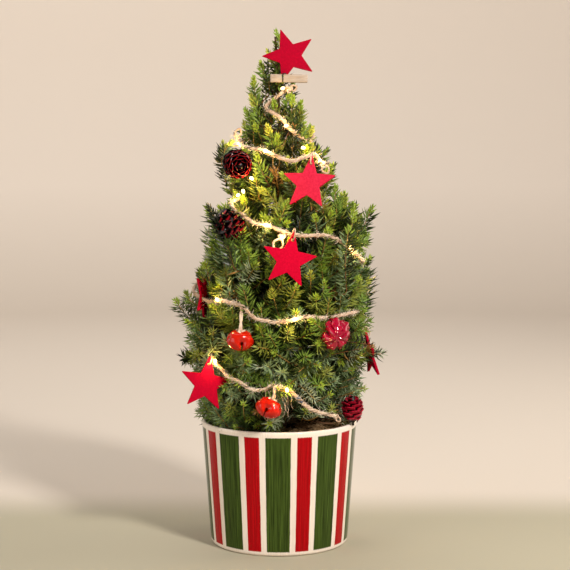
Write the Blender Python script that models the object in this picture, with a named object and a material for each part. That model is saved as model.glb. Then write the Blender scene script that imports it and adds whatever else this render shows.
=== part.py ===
"""A dwarf spruce grown as a small cone-shaped tree in a round glazed pot.

Metres, +Z up. The origin is the centre of the pot's flat underside, and -Y is the front.
The pieces are the pot, the root ball, the trunk, one bough for each mass of foliage, and
the masses. A mass fills its own cell between its neighbours, out to the crown's outline,
and its longest shoots stand out of it.
"""

import math
import random
from dataclasses import dataclass

import bmesh
import bpy
from mathutils import Quaternion, Vector, noise
from mathutils.bvhtree import BVHTree

GAP = 0.0003                    # clearance between pieces that touch

# Pot: a plain tapered cylinder with a rounded foot and a rounded rim
POT_HEIGHT = 0.1315
POT_FOOT_RADIUS = 0.0735        # outside
POT_RIM_RADIUS = 0.0830         # outside
POT_WALL = 0.0045
POT_FLOOR = 0.0070
POT_FOOT_ROUND = 0.0035
POT_RIM_ROUND = 0.0018
POT_SEGMENTS = 40
ARC_STEPS = 3                   # facets in each rounded edge

# Root ball, which fills the pot up to the ground level of the tree
GROUND = 0.1190
SOIL_LEVEL_RADIUS = 0.0150      # flat patch under the trunk
SOIL_RINGS = 3
SOIL_UNEVEN = 0.0022

# Trunk
TRUNK_TOP = 0.5380
TRUNK_BASE_RADIUS = 0.0060
TRUNK_TIP_RADIUS = 0.0010
TRUNK_TAPER = 1.10              # exponent of the taper
TRUNK_FLARE = 0.0032            # added at the ground by the root flare
TRUNK_FLARE_HEIGHT = 0.0070
TRUNK_LEAN = -0.0040            # sideways from the ground to the tip
TRUNK_SWAY = 0.0055
TRUNK_SIDES = 10
TRUNK_RINGS = 15

# Boughs
BOUGH_SHARE = 0.40              # radius at the trunk, as a share of the trunk's
BOUGH_TAPER = 0.55              # radius at the end, as a share of that at the trunk
BOUGH_BOW = 0.10                # rise of the middle over a straight line, per length
BOUGH_SOCKET = 0.0060           # how far a bough enters its mass
BOUGH_SIDES = 6
BOUGH_RINGS = 4
BOUGH_SAMPLES = 48              # places tested for where a bough meets its mass

# Crown outline: height, and radius of the closed foliage at that height
CROWN_OUTLINE = (
    (0.133, 0.083), (0.165, 0.091), (0.215, 0.095), (0.280, 0.090), (0.335, 0.086),
    (0.370, 0.067), (0.410, 0.052), (0.450, 0.035), (0.490, 0.023), (0.525, 0.013),
    (0.5485, 0.002),
)
# Height, and sideways place of the crown's middle at that height
CROWN_MIDDLE = (
    (0.133, 0.001), (0.220, -0.001), (0.300, 0.006), (0.355, 0.009), (0.415, -0.002),
    (0.470, -0.004), (0.5485, -0.004),
)
CROWN_UNEVEN = 0.10             # share of the radius
CROWN_UNEVEN_SIZE = 0.028       # size of the bulges and dents
CROWN_UNDERSIDE = 0.1330        # just over the pot's rim
CROWN_INNER_SHARE = 0.27        # bare middle round the trunk, as a share of the radius

# Masses
MASS_DIRECTIONS = 84            # vertices of a mass before its long shoots
MASS_HALF_GAP = 0.0009          # from a mass to the middle between it and a neighbour
MASS_EDGE_ROUNDING = 12         # higher is sharper
MASS_STEP = 0.0012              # step of the search for the outline
MASS_SHOOT_SPACING = math.radians(11)   # smallest angle between a long shoot and a vertex

# The longest shoots at the two sides: sideways, front to back, height
SIDE_SHOOTS = (
    (-0.004, 0.000, 0.5485),
    (-0.018, -0.006, 0.513), (-0.024, 0.004, 0.503), (-0.031, -0.008, 0.477),
    (-0.061, -0.012, 0.427), (-0.055, 0.014, 0.378), (-0.079, -0.004, 0.360),
    (-0.085, 0.010, 0.297), (-0.113, -0.010, 0.260), (-0.100, -0.022, 0.240),
    (-0.094, 0.012, 0.207), (-0.088, -0.016, 0.139), (0.015, -0.010, 0.478),
    (0.024, 0.004, 0.470), (0.030, -0.008, 0.449), (0.034, 0.008, 0.436),
    (0.057, -0.012, 0.403), (0.073, 0.010, 0.372), (0.101, -0.006, 0.360),
    (0.098, 0.012, 0.318), (0.092, -0.014, 0.252), (0.113, 0.004, 0.201),
    (0.093, -0.018, 0.167),
)
# Long shoots round the front and the back, spread by the golden angle
SPREAD_SHOOTS = 34
SPREAD_LOW = 0.150
SPREAD_HIGH = 0.500
SPREAD_OUT = (0.004, 0.012)     # least and most that they stand out of the outline
SPREAD_SIDE_LIMIT = 0.86        # cosine past which the named side shoots take over
SPREAD_SEED = 11
GOLDEN_ANGLE = math.pi * (3 - math.sqrt(5))


@dataclass(frozen=True)
class Finish:
    """Plain viewport finish of one kind of piece."""

    name: str
    colour: tuple
    roughness: float


GLAZE = Finish("cream_glaze", (0.84, 0.75, 0.62), 0.22)
SOIL = Finish("potting_mix", (0.050, 0.034, 0.022), 0.95)
BARK = Finish("bark", (0.20, 0.115, 0.062), 0.90)
NEEDLES = Finish("needles", (0.085, 0.150, 0.040), 0.75)


@dataclass(frozen=True)
class Whorl:
    """Masses of one height round the trunk, each on its own bough."""

    name: str
    height: float               # of the middle of each mass
    count: int
    first_azimuth: float        # degrees from +X
    reach: float                # from the trunk, as a share of the crown's radius
    rise: float                 # of the bough, per distance out


WHORLS = (
    Whorl("skirt", 0.1640, 5, 238.0, 0.62, 0.30),
    Whorl("lower", 0.2180, 5, 274.0, 0.64, 0.55),
    Whorl("middle", 0.2790, 5, 246.0, 0.64, 0.65),
    Whorl("shoulder", 0.3390, 5, 282.0, 0.62, 0.75),
    Whorl("upper", 0.4000, 3, 255.0, 0.58, 0.85),
    Whorl("collar", 0.4480, 3, 315.0, 0.55, 0.90),
)
SPIRE_HEIGHT = 0.4960           # middle of the one mass round the trunk's tip


@dataclass
class Mass:
    """Middle and long shoots of one mass of foliage."""

    name: str
    centre: Vector
    rise: float
    shoots: list


def clear_scene():
    """Remove what the file opens with."""
    for item in list(bpy.data.objects):
        bpy.data.objects.remove(item, do_unlink=True)


def make_material(finish):
    """Principled material of a finish, made once."""
    material = bpy.data.materials.get(finish.name)
    if material is None:
        material = bpy.data.materials.new(finish.name)
        material.use_nodes = True
        shader = material.node_tree.nodes["Principled BSDF"]
        shader.inputs["Base Color"].default_value = (*finish.colour, 1.0)
        shader.inputs["Roughness"].default_value = finish.roughness
        shader.inputs["Metallic"].default_value = 0.0
    return material


def add_object(name, shape, finish):
    """Turn a finished bmesh into a named object with its finish."""
    bmesh.ops.recalc_face_normals(shape, faces=shape.faces)
    mesh = bpy.data.meshes.new(name)
    shape.to_mesh(mesh)
    shape.free()
    mesh.materials.append(make_material(finish))
    piece = bpy.data.objects.new(name, mesh)
    bpy.context.scene.collection.objects.link(piece)
    return piece


def cut(piece, cutter):
    """Take the cutter's shape out of the piece for good, and remove the cutter."""
    cutter.hide_render = True
    cutter.display_type = "WIRE"
    boolean = piece.modifiers.new("cut", "BOOLEAN")
    boolean.operation = "DIFFERENCE"
    boolean.solver = "EXACT"
    boolean.object = cutter
    evaluated = piece.evaluated_get(bpy.context.evaluated_depsgraph_get())
    uncut = piece.data
    piece.data = bpy.data.meshes.new_from_object(evaluated)
    piece.modifiers.clear()
    bpy.data.meshes.remove(uncut)
    bpy.data.objects.remove(cutter, do_unlink=True)


def between(table, height):
    """Second column of a table at a height, along straight lines between its rows."""
    if height <= table[0][0]:
        return table[0][1]
    for (low, first), (high, second) in zip(table, table[1:]):
        if height <= high:
            share = (height - low) / (high - low)
            return first + (second - first) * share
    return table[-1][1]


def arc(centre_radius, centre_height, radius, start, end):
    """Points of a rounded edge in a turned profile, as (radius, height)."""
    turns = [math.radians(start + (end - start) * i / ARC_STEPS) for i in range(ARC_STEPS + 1)]
    return [(centre_radius + radius * math.cos(a), centre_height + radius * math.sin(a)) for a in turns]


def turned(profile):
    """Closed body of a profile from the axis to the axis, spun round Z."""
    shape = bmesh.new()
    points = [shape.verts.new((radius, 0.0, height)) for radius, height in profile]
    edges = [shape.edges.new(pair) for pair in zip(points, points[1:])]
    bmesh.ops.spin(
        shape, geom=points + edges, cent=(0, 0, 0), axis=(0, 0, 1),
        angle=math.tau, steps=POT_SEGMENTS, use_merge=True,
    )
    bmesh.ops.remove_doubles(shape, verts=shape.verts, dist=1e-6)
    return shape


def pot_outside(height):
    """Outer radius of the pot's wall at a height."""
    return POT_FOOT_RADIUS + (POT_RIM_RADIUS - POT_FOOT_RADIUS) * height / POT_HEIGHT


def build_pot():
    """Tapered pot with a flat underside, an even wall and a rounded rim."""
    foot = POT_FOOT_ROUND
    rim = POT_RIM_ROUND
    outer = POT_RIM_RADIUS
    inner = POT_RIM_RADIUS - POT_WALL
    profile = [(0.0, 0.0)]
    profile += arc(pot_outside(foot) - foot, foot, foot, -90, 0)
    profile += arc(outer - rim, POT_HEIGHT - rim, rim, 0, 90)
    profile += arc(inner + rim, POT_HEIGHT - rim, rim, 90, 180)
    profile += [(pot_outside(POT_FLOOR) - POT_WALL, POT_FLOOR), (0.0, POT_FLOOR)]
    return add_object("pot", turned(profile), GLAZE)


def build_root_ball():
    """Root ball and potting mix up to the ground level, uneven away from the trunk."""
    low = POT_FLOOR + GAP
    edge = pot_outside(GROUND) - POT_WALL - GAP
    profile = [(0.0, low), (pot_outside(low) - POT_WALL - 2 * GAP, low), (edge, GROUND)]
    step = (edge - SOIL_LEVEL_RADIUS) / SOIL_RINGS
    profile += [(edge - step * i, GROUND) for i in range(1, SOIL_RINGS + 1)]
    profile += [(0.0, GROUND)]
    shape = turned(profile)
    for vert in shape.verts:
        radius = math.hypot(vert.co.x, vert.co.y)
        if vert.co.z > GROUND - GAP and SOIL_LEVEL_RADIUS * 1.1 < radius < edge * 0.98:
            vert.co.z += SOIL_UNEVEN * noise.noise(vert.co * 60.0)
    return add_object("root_ball", shape, SOIL)


def tube(points, radii, sides, lobes=0.0):
    """Closed limb along points. With lobes, its first end is level and swells in five places."""
    shape = bmesh.new()
    ring = bmesh.ops.create_circle(shape, segments=sides, radius=1.0)["verts"]
    edges = list(shape.edges)
    foot = list(ring)
    spokes = [vert.co.copy() for vert in ring]
    for index, (point, radius) in enumerate(zip(points, radii)):
        if index:
            grown = bmesh.ops.extrude_edge_only(shape, edges=edges)["geom"]
            ring = [item for item in grown if isinstance(item, bmesh.types.BMVert)]
            edges = [
                item for item in grown
                if isinstance(item, bmesh.types.BMEdge) and item.verts[0] in ring and item.verts[1] in ring
            ]
        ahead = points[min(index + 1, len(points) - 1)] - points[max(index - 1, 0)]
        turn = Vector((0, 0, 1)).rotation_difference(ahead)
        if lobes and not index:
            turn = Quaternion()
        for vert, spoke in zip(ring, spokes):
            swell = 1 + lobes / (1 + index) ** 2 * math.cos(5 * math.atan2(spoke.y, spoke.x))
            vert.co = point + turn @ (spoke * radius * swell)
    shape.faces.new(foot)
    bmesh.ops.contextual_create(shape, geom=edges)
    bmesh.ops.triangulate(shape, faces=[face for face in shape.faces if len(face.verts) > 4])
    return shape


def trunk_point(height):
    """Middle of the trunk at a height."""
    share = max(0.0, min(1.0, (height - GROUND) / (TRUNK_TOP - GROUND)))
    sideways = TRUNK_LEAN * share + TRUNK_SWAY * math.sin(math.pi * share)
    return Vector((sideways, 0.4 * TRUNK_SWAY * math.sin(math.tau * share), height))


def trunk_radius(height):
    """Radius of the trunk at a height, with its root flare."""
    share = max(0.0, min(1.0, (height - GROUND) / (TRUNK_TOP - GROUND)))
    plain = TRUNK_TIP_RADIUS + (TRUNK_BASE_RADIUS - TRUNK_TIP_RADIUS) * (1 - share) ** TRUNK_TAPER
    return plain + TRUNK_FLARE * math.exp(-(height - GROUND) / TRUNK_FLARE_HEIGHT)


def trunk_shape(extra=0.0):
    """The trunk's limb, or a larger one that clears it by extra."""
    foot = GROUND + GAP
    span = TRUNK_TOP + extra - foot
    # rings lie closer together in the flare
    heights = [foot + span * (i / (TRUNK_RINGS - 1)) ** 1.6 for i in range(TRUNK_RINGS)]
    radii = [trunk_radius(height) + extra for height in heights]
    return tube([trunk_point(height) for height in heights], radii, TRUNK_SIDES, lobes=0.12)


def crown_middle(height):
    """Sideways place of the crown's middle."""
    return between(CROWN_MIDDLE, height)


def is_outside(point):
    """Whether a point lies out of the uneven crown."""
    if point.z > CROWN_OUTLINE[-1][0] or point.z < CROWN_UNDERSIDE:
        return True
    unevenness = 1 + CROWN_UNEVEN * noise.noise(point / CROWN_UNEVEN_SIZE)
    distance = math.hypot(point.x - crown_middle(point.z), point.y)
    return distance > between(CROWN_OUTLINE, point.z) * unevenness


def is_bare_middle(point):
    """Whether a point lies in the bare middle round the trunk."""
    clear = CROWN_INNER_SHARE * between(CROWN_OUTLINE, point.z)
    return (point - trunk_point(point.z)).length < max(clear, trunk_radius(point.z) + 0.002)


def first_step(centre, direction, test):
    """Distance from the centre at which the test is first met."""
    distance = MASS_STEP
    while distance < 0.2 and not test(centre + direction * distance):
        distance += MASS_STEP
    return distance


def spread_directions(count):
    """Evenly spread unit directions."""
    directions = []
    for index in range(count):
        height = 1 - (2 * index + 1) / count
        radius = math.sqrt(1 - height * height)
        turn = index * GOLDEN_ANGLE
        directions.append(Vector((radius * math.cos(turn), radius * math.sin(turn), height)))
    return directions


def mass_reach(mass, direction, centres, has_bare_middle):
    """How far a mass reaches from its middle, with its edges rounded."""
    limits = [first_step(mass.centre, direction, is_outside)]
    if has_bare_middle:
        limits.append(first_step(mass.centre, direction, is_bare_middle))
    for other in centres:
        away = other - mass.centre
        facing = direction.dot(away.normalized())
        if facing > 0.05:
            limits.append((away.length / 2 - MASS_HALF_GAP) / facing)
    return sum(limit ** -MASS_EDGE_ROUNDING for limit in limits) ** (-1 / MASS_EDGE_ROUNDING)


def mass_shape(mass, centres, has_bare_middle):
    """Uneven closed body of one mass, out to its long shoots."""
    shoots = [shoot - mass.centre for shoot in mass.shoots]
    kept = [
        direction for direction in spread_directions(MASS_DIRECTIONS)
        if all(direction.angle(shoot) > MASS_SHOOT_SPACING for shoot in shoots)
    ]
    shape = bmesh.new()
    for direction in kept + [shoot.normalized() for shoot in shoots]:
        shape.verts.new(direction)
    bmesh.ops.convex_hull(shape, input=shape.verts)
    shape.verts.ensure_lookup_table()
    for vert in shape.verts:
        direction = vert.co.normalized()
        reach = mass_reach(mass, direction, centres, has_bare_middle)
        for shoot in shoots:
            if direction.angle(shoot) < 0.001:
                reach = shoot.length
        vert.co = mass.centre + direction * reach
    return shape


def plan_masses():
    """Middle of every mass, and the long shoots that belong to it."""
    masses = []
    for whorl in WHORLS:
        for index in range(whorl.count):
            turn = math.radians(whorl.first_azimuth + 360.0 * index / whorl.count)
            height = whorl.height + 0.004 * math.sin(3.1 * index + whorl.height * 90)
            distance = whorl.reach * between(CROWN_OUTLINE, height)
            centre = Vector((
                crown_middle(height) + distance * math.cos(turn), distance * math.sin(turn), height,
            ))
            masses.append(Mass(f"{whorl.name}_{index + 1}", centre, whorl.rise, []))
    masses.append(Mass("spire", trunk_point(SPIRE_HEIGHT), 0.0, []))
    for shoot in [Vector(place) for place in SIDE_SHOOTS] + spread_shoots():
        nearest = min(masses, key=lambda mass: (mass.centre - shoot).length)
        nearest.shoots.append(shoot)
    return masses


def spread_shoots():
    """Tips of the long shoots that stand out at the front and the back."""
    draw = random.Random(SPREAD_SEED)
    tips = []
    for index in range(SPREAD_SHOOTS):
        height = SPREAD_LOW + (SPREAD_HIGH - SPREAD_LOW) * (index + 0.5) / SPREAD_SHOOTS
        out = between(CROWN_OUTLINE, height) + draw.uniform(*SPREAD_OUT)
        turn = index * GOLDEN_ANGLE
        if abs(math.cos(turn)) < SPREAD_SIDE_LIMIT:
            tips.append(Vector((
                crown_middle(height) + out * math.cos(turn), out * math.sin(turn), height,
            )))
    return tips


def bough_path(mass):
    """Points of the bowed line from the trunk's middle to the middle of a mass."""
    run = math.hypot(mass.centre.x - trunk_point(mass.centre.z).x, mass.centre.y)
    foot_height = max(GROUND + 0.012, mass.centre.z - mass.rise * run)
    start = trunk_point(foot_height)
    along = mass.centre - start
    points = []
    for index in range(BOUGH_SAMPLES):
        share = index / (BOUGH_SAMPLES - 1)
        bow = BOUGH_BOW * along.length * share * (1 - share)
        points.append(start + along * share + Vector((0, 0, bow)))
    return points


def bough_end(points, piece):
    """Index of the point where the bough has entered its mass by the socket's depth."""
    mesh = piece.data
    surface = BVHTree.FromPolygons([v.co for v in mesh.vertices], [p.vertices for p in mesh.polygons])
    step = (points[1] - points[0]).length
    for index, point in enumerate(points):
        place, normal, _, _ = surface.find_nearest(point)
        if (point - place).dot(normal) < 0:
            return min(len(points) - 1, index + math.ceil(BOUGH_SOCKET / step))
    return len(points) - 1


def bough_shape(points, extra=0.0):
    """Tapering limb along the points, or a larger one that clears it by extra."""
    last = len(points) - 1
    picked = [points[round(last * i / (BOUGH_RINGS - 1))] for i in range(BOUGH_RINGS)]
    if extra:
        picked[-1] = picked[-1] + (picked[-1] - picked[-2]).normalized() * extra
    thick = BOUGH_SHARE * trunk_radius(points[0].z)
    taper = [1 + (BOUGH_TAPER - 1) * i / (BOUGH_RINGS - 1) for i in range(BOUGH_RINGS)]
    return tube(picked, [thick * share + extra for share in taper], BOUGH_SIDES)


def build_crown():
    """The masses, and the bough that carries each."""
    masses = plan_masses()
    for mass in masses:
        centres = [other.centre for other in masses if other is not mass]
        has_bough = mass.name != "spire"
        piece = add_object(f"foliage_{mass.name}", mass_shape(mass, centres, has_bough), NEEDLES)
        if has_bough:
            points = bough_path(mass)
            points = points[: bough_end(points, piece) + 1]
            cut(piece, add_object("bough_clearance", bough_shape(points, GAP), BARK))
            bough = add_object(f"bough_{mass.name}", bough_shape(points), BARK)
            cut(bough, add_object("trunk_clearance", trunk_shape(GAP), BARK))
        else:
            cut(piece, add_object("trunk_clearance", trunk_shape(GAP), BARK))


def main():
    """Build every piece in order."""
    clear_scene()
    build_pot()
    build_root_ball()
    add_object("trunk", trunk_shape(), BARK)
    build_crown()


main()
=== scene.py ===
"""Looks of a potted dwarf Alberta spruce, dressed as a small Christmas tree.

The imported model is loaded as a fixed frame. A turned and glazed pot, loose potting mix, bark, seeded
twigs and needle sprays replace its plain solids, and the felt stars, dyed cones, jingle bells, jute
twine, clothes peg and fairy lights are added. Lengths are in millimetres where a name ends in _mm and
in metres elsewhere; the origin is the middle of the pot's underside, +Z is up and -Y faces the camera.
"""

from __future__ import annotations

import logging
import math
from collections.abc import Callable, Iterator, Sequence
from contextlib import contextmanager
from dataclasses import dataclass, field
from enum import Enum

import bpy
import numpy as np
from mathutils import Matrix, Vector, noise
from mathutils.bvhtree import BVHTree


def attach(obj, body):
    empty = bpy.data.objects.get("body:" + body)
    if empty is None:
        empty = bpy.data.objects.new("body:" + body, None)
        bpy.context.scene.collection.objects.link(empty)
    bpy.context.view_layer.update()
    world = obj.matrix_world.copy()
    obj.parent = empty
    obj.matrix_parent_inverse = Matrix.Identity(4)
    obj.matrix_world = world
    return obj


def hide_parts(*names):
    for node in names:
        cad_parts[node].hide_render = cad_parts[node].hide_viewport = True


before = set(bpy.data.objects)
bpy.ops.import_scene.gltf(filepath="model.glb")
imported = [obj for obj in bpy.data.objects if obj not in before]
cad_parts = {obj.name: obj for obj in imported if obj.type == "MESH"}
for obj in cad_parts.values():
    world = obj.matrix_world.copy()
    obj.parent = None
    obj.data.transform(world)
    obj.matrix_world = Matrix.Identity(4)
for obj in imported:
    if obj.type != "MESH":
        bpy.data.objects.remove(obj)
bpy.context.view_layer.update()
NODES: dict[str, bpy.types.Object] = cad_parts
MM = 0.001
GOLDEN_ANGLE = math.pi * (3.0 - math.sqrt(5.0))
# A place or a set of three shares, a table of points, and a pair of arrays such as points and faces.
Place = tuple[float, float, float]
Table = tuple[tuple[float, float], ...]
Pair = tuple[np.ndarray, np.ndarray]
LOG = logging.getLogger("spruce")


# ---------------------------------------------------------------------------------------------
# Small helpers
# ---------------------------------------------------------------------------------------------


def linear(hex_colour: str) -> tuple[float, float, float, float]:
    """Turn an sRGB hex colour into linear light.

    Args:
        hex_colour: Six hex digits, such as "9a1b22".

    Returns:
        Red, green, blue and an opaque alpha, in linear light.
    """
    parts = [int(hex_colour[i : i + 2], 16) / 255.0 for i in (0, 2, 4)]
    light = [p / 12.92 if p <= 0.04045 else ((p + 0.055) / 1.055) ** 2.4 for p in parts]
    return light[0], light[1], light[2], 1.0


def add_node(tree: bpy.types.NodeTree, kind: str, inputs: dict | None = None, **settings) -> bpy.types.Node:
    """Add a node with its settings and links.

    Args:
        tree: Node tree that the node joins.
        kind: Blender's name for the node type.
        inputs: Socket name or number to a value, or to an output socket that is linked to it.
        **settings: Properties of the node itself.

    Returns:
        The new node.
    """
    node = tree.nodes.new(kind)
    for name, value in settings.items():
        setattr(node, name, value)
    feed(tree, node, inputs or {})
    return node


def feed(tree: bpy.types.NodeTree, node: bpy.types.Node, inputs: dict) -> None:
    """Link output sockets to a node's inputs and set constant values straight on them.

    Args:
        tree: Node tree of the node.
        node: The node.
        inputs: Socket name or number to a value, or to an output socket that is linked to it.
    """
    for key, value in inputs.items():
        if isinstance(value, bpy.types.NodeSocket):
            tree.links.new(value, node.inputs[key])
        else:
            node.inputs[key].default_value = value


def object_place(tree: bpy.types.NodeTree) -> bpy.types.NodeSocket:
    """Place on the object, in metres."""
    return add_node(tree, "ShaderNodeTexCoord").outputs["Object"]


def maths(
    tree: bpy.types.NodeTree, operation: str, *values: float | bpy.types.NodeSocket
) -> bpy.types.NodeSocket:
    """Work out one sum of up to three values or sockets."""
    return add_node(tree, "ShaderNodeMath", dict(enumerate(values)), operation=operation).outputs[0]


def stretch(tree: bpy.types.NodeTree, place: bpy.types.NodeSocket, shares: Place) -> bpy.types.NodeSocket:
    """Stretch a place by a share along each axis."""
    return add_node(tree, "ShaderNodeVectorMath", {0: place, 1: shares}, operation="MULTIPLY").outputs[0]


def speckle(
    tree: bpy.types.NodeTree,
    place: bpy.types.NodeSocket,
    scale: float,
    detail: float = 2.0,
    rough: float = 0.5,
) -> bpy.types.NodeSocket:
    """Make a soft random pattern between 0 and 1.

    Args:
        tree: Node tree that the pattern joins.
        place: Where each value is read.
        scale: Spots for each metre.
        detail: Layers of finer spots.
        rough: Share of each finer layer.

    Returns:
        The pattern.
    """
    inputs = {"Vector": place, "Scale": scale, "Detail": detail, "Roughness": rough}
    return add_node(tree, "ShaderNodeTexNoise", inputs).outputs["Fac"]


def remap(
    tree: bpy.types.NodeTree,
    value: bpy.types.NodeSocket,
    source: tuple[float, float] = (0.0, 1.0),
    target: tuple[float, float] = (0.0, 1.0),
) -> bpy.types.NodeSocket:
    """Map a value from one range to another and stop it at the ends.

    Args:
        tree: Node tree that the node joins.
        value: The value.
        source: Its range.
        target: The range that it is mapped to.

    Returns:
        The mapped value.
    """
    inputs = {"Value": value, "From Min": source[0], "From Max": source[1]}
    inputs |= {"To Min": target[0], "To Max": target[1]}
    return add_node(tree, "ShaderNodeMapRange", inputs).outputs[0]


def mix(
    tree: bpy.types.NodeTree,
    share: bpy.types.NodeSocket,
    first: str | bpy.types.NodeSocket,
    second: str | bpy.types.NodeSocket,
) -> bpy.types.NodeSocket:
    """Mix two colours, each a hex colour or a socket, by a share of the second."""
    first, second = (linear(one) if isinstance(one, str) else one for one in (first, second))
    return add_node(tree, "ShaderNodeMix", {0: share, 6: first, 7: second}, data_type="RGBA").outputs[2]


def add_bump(
    tree: bpy.types.NodeTree,
    shader: bpy.types.Node,
    height: bpy.types.NodeSocket,
    strength: float,
    distance: float,
) -> None:
    """Give a shader a fine relief.

    Args:
        tree: Its node tree.
        shader: The shader.
        height: Height pattern.
        strength: Share of the relief that shows.
        distance: Height of the relief in metres.
    """
    bump = add_node(tree, "ShaderNodeBump", {"Height": height, "Strength": strength, "Distance": distance})
    tree.links.new(bump.outputs[0], shader.inputs["Normal"])


def new_material(name: str) -> tuple[bpy.types.Material, bpy.types.NodeTree, bpy.types.Node]:
    """Make a material that holds one Principled shader.

    Args:
        name: Common name of the real finish.

    Returns:
        The material, its node tree and its Principled shader.
    """
    material = bpy.data.materials.new(name)
    material.use_nodes = True
    tree = material.node_tree
    tree.nodes.clear()
    shader = add_node(tree, "ShaderNodeBsdfPrincipled")
    add_node(tree, "ShaderNodeOutputMaterial", {"Surface": shader.outputs["BSDF"]})
    return material, tree, shader


def mesh_piece(
    name: str,
    points: np.ndarray,
    faces: np.ndarray,
    materials: Sequence[bpy.types.Material],
    slots: np.ndarray | None = None,
    smooth: bool = False,
) -> bpy.types.Object:
    """Make a mesh object at the origin from arrays.

    Args:
        name: Name of the object.
        points: Vertex positions in metres, n by 3.
        faces: Vertex numbers, m by 3 or m by 4.
        materials: Materials of the object.
        slots: Material number of each face; all are 0 when left out.
        smooth: Whether the faces shade smoothly.

    Returns:
        The new object.
    """
    mesh = bpy.data.meshes.new(name)
    corners = faces.shape[1]
    mesh.vertices.add(len(points))
    mesh.vertices.foreach_set("co", np.asarray(points, np.float32).ravel())
    mesh.loops.add(faces.size)
    mesh.loops.foreach_set("vertex_index", np.asarray(faces, np.int32).ravel())
    mesh.polygons.add(len(faces))
    mesh.polygons.foreach_set("loop_start", np.arange(0, faces.size, corners, dtype=np.int32))
    for material in materials:
        mesh.materials.append(material)
    if slots is not None:
        mesh.polygons.foreach_set("material_index", np.asarray(slots, np.int32))
    mesh.polygons.foreach_set("use_smooth", np.full(len(faces), smooth))
    mesh.update(calc_edges=True)
    mesh.validate()
    piece = bpy.data.objects.new(name, mesh)
    bpy.context.scene.collection.objects.link(piece)
    return piece


def publish(piece: bpy.types.Object, slot: str, *replaced: str) -> bpy.types.Object:
    """Hand a finished piece to the frame: it rides on the body and may replace nodes; its slot is only
    logged.

    Args:
        piece: Finished mesh object at the origin.
        slot: Name of its material slot, which is only written to the log.
        *replaced: Names of the CAD nodes that the piece stands for.

    Returns:
        The same piece.
    """
    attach(piece, "root")
    if replaced:
        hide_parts(*replaced)
    LOG.info(
        "%s: %d faces, slot %s, replaces %d nodes",
        piece.name,
        len(piece.data.polygons),
        slot,
        len(replaced),
    )
    return piece


def unit(vectors: np.ndarray) -> np.ndarray:
    """Scale each vector to a length of one."""
    return vectors / np.maximum(np.linalg.norm(vectors, axis=-1, keepdims=True), 1e-12)


def outward(place: Sequence[float]) -> np.ndarray:
    """Level direction from the pot's axis to a place."""
    return unit(np.array((place[0], place[1], 0.0)))


def run_length(line: np.ndarray) -> np.ndarray:
    """Way along a line from its start to each of its points."""
    return np.concatenate(([0.0], np.cumsum(np.linalg.norm(np.diff(line, axis=0), axis=1))))


def joined(shapes: Sequence[Pair]) -> Pair:
    """Join vertices and faces of several shapes into one pair of arrays."""
    starts = np.cumsum([0] + [len(points) for points, _ in shapes[:-1]])
    faces = [own + start for (_, own), start in zip(shapes, starts)]
    return np.concatenate([points for points, _ in shapes]), np.concatenate(faces)


def slivers(
    name: str,
    spine: tuple[np.ndarray, np.ndarray, np.ndarray],
    sides: tuple[np.ndarray, np.ndarray],
    half: np.ndarray | float,
    turn: float,
    materials: Sequence[bpy.types.Material],
    slots: np.ndarray | None = None,
) -> bpy.types.Object:
    """Make many closed three-sided slivers as one mesh.

    Args:
        name: Name of the piece.
        spine: Foot, middle and tip of each sliver.
        sides: Two directions across each sliver.
        half: Half its thickness in the middle.
        turn: Turn of its first corner.
        materials: Materials of the piece.
        slots: Material number of each face; all are 0 when left out.

    Returns:
        The mesh object, with six triangles for each sliver.
    """
    foot, middle, tip = spine
    points = np.empty((len(foot), 5, 3))
    points[:, 0] = foot
    points[:, 4] = tip
    for i in range(3):
        angle = 2 * math.pi * i / 3 + turn
        points[:, 1 + i] = middle + (sides[0] * math.cos(angle) + sides[1] * math.sin(angle)) * half
    pattern = np.array(((0, 2, 1), (0, 3, 2), (0, 1, 3), (4, 1, 2), (4, 2, 3), (4, 3, 1)))
    faces = (np.arange(len(foot))[:, None, None] * 5 + pattern[None]).reshape(-1, 3)
    return mesh_piece(name, points.reshape(-1, 3), faces, materials, slots)


def step_between(value: float, table: Sequence[tuple[float, float]]) -> float:
    """Read a table of (key, value) pairs at a key, with straight lines between them."""
    keys, values = zip(*table)
    return float(np.interp(value, keys, values))


def cad_mesh(name: str) -> Pair:
    """Read a CAD node's mesh with its doubled vertices merged.

    Args:
        name: Name of the node.

    Returns:
        Vertex positions, n by 3, and triangles, m by 3.
    """
    mesh = NODES[name].data
    points = np.empty(len(mesh.vertices) * 3, np.float32)
    mesh.vertices.foreach_get("co", points)
    points = points.reshape(-1, 3).astype(float)
    mesh.calc_loop_triangles()
    triangles = np.empty(len(mesh.loop_triangles) * 3, np.int32)
    mesh.loop_triangles.foreach_get("vertices", triangles)
    merged, index = np.unique(np.round(points, 6), axis=0, return_inverse=True)
    return merged, index.ravel()[triangles.reshape(-1, 3)]


# ---------------------------------------------------------------------------------------------
# Modelling by hand: edit mode and turned shapes
# ---------------------------------------------------------------------------------------------


def pick(piece: bpy.types.Object, *others: bpy.types.Object) -> None:
    """Select pieces and make the first one active."""
    bpy.ops.object.select_all(action="DESELECT")
    for one in (piece, *others):
        one.select_set(True)
    bpy.context.view_layer.objects.active = piece


@contextmanager
def editing(piece: bpy.types.Object, mode: str = "VERT") -> Iterator[None]:
    """Open one piece in edit mode with all of it selected.

    Args:
        piece: The mesh object.
        mode: What is selected: "VERT", "EDGE" or "FACE".

    Yields:
        Nothing; the piece is back in object mode afterwards.
    """
    pick(piece)
    bpy.ops.object.mode_set(mode="EDIT")
    bpy.ops.mesh.select_mode(type=mode)
    bpy.ops.mesh.select_all(action="SELECT")
    yield
    bpy.ops.object.mode_set(mode="OBJECT")


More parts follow.
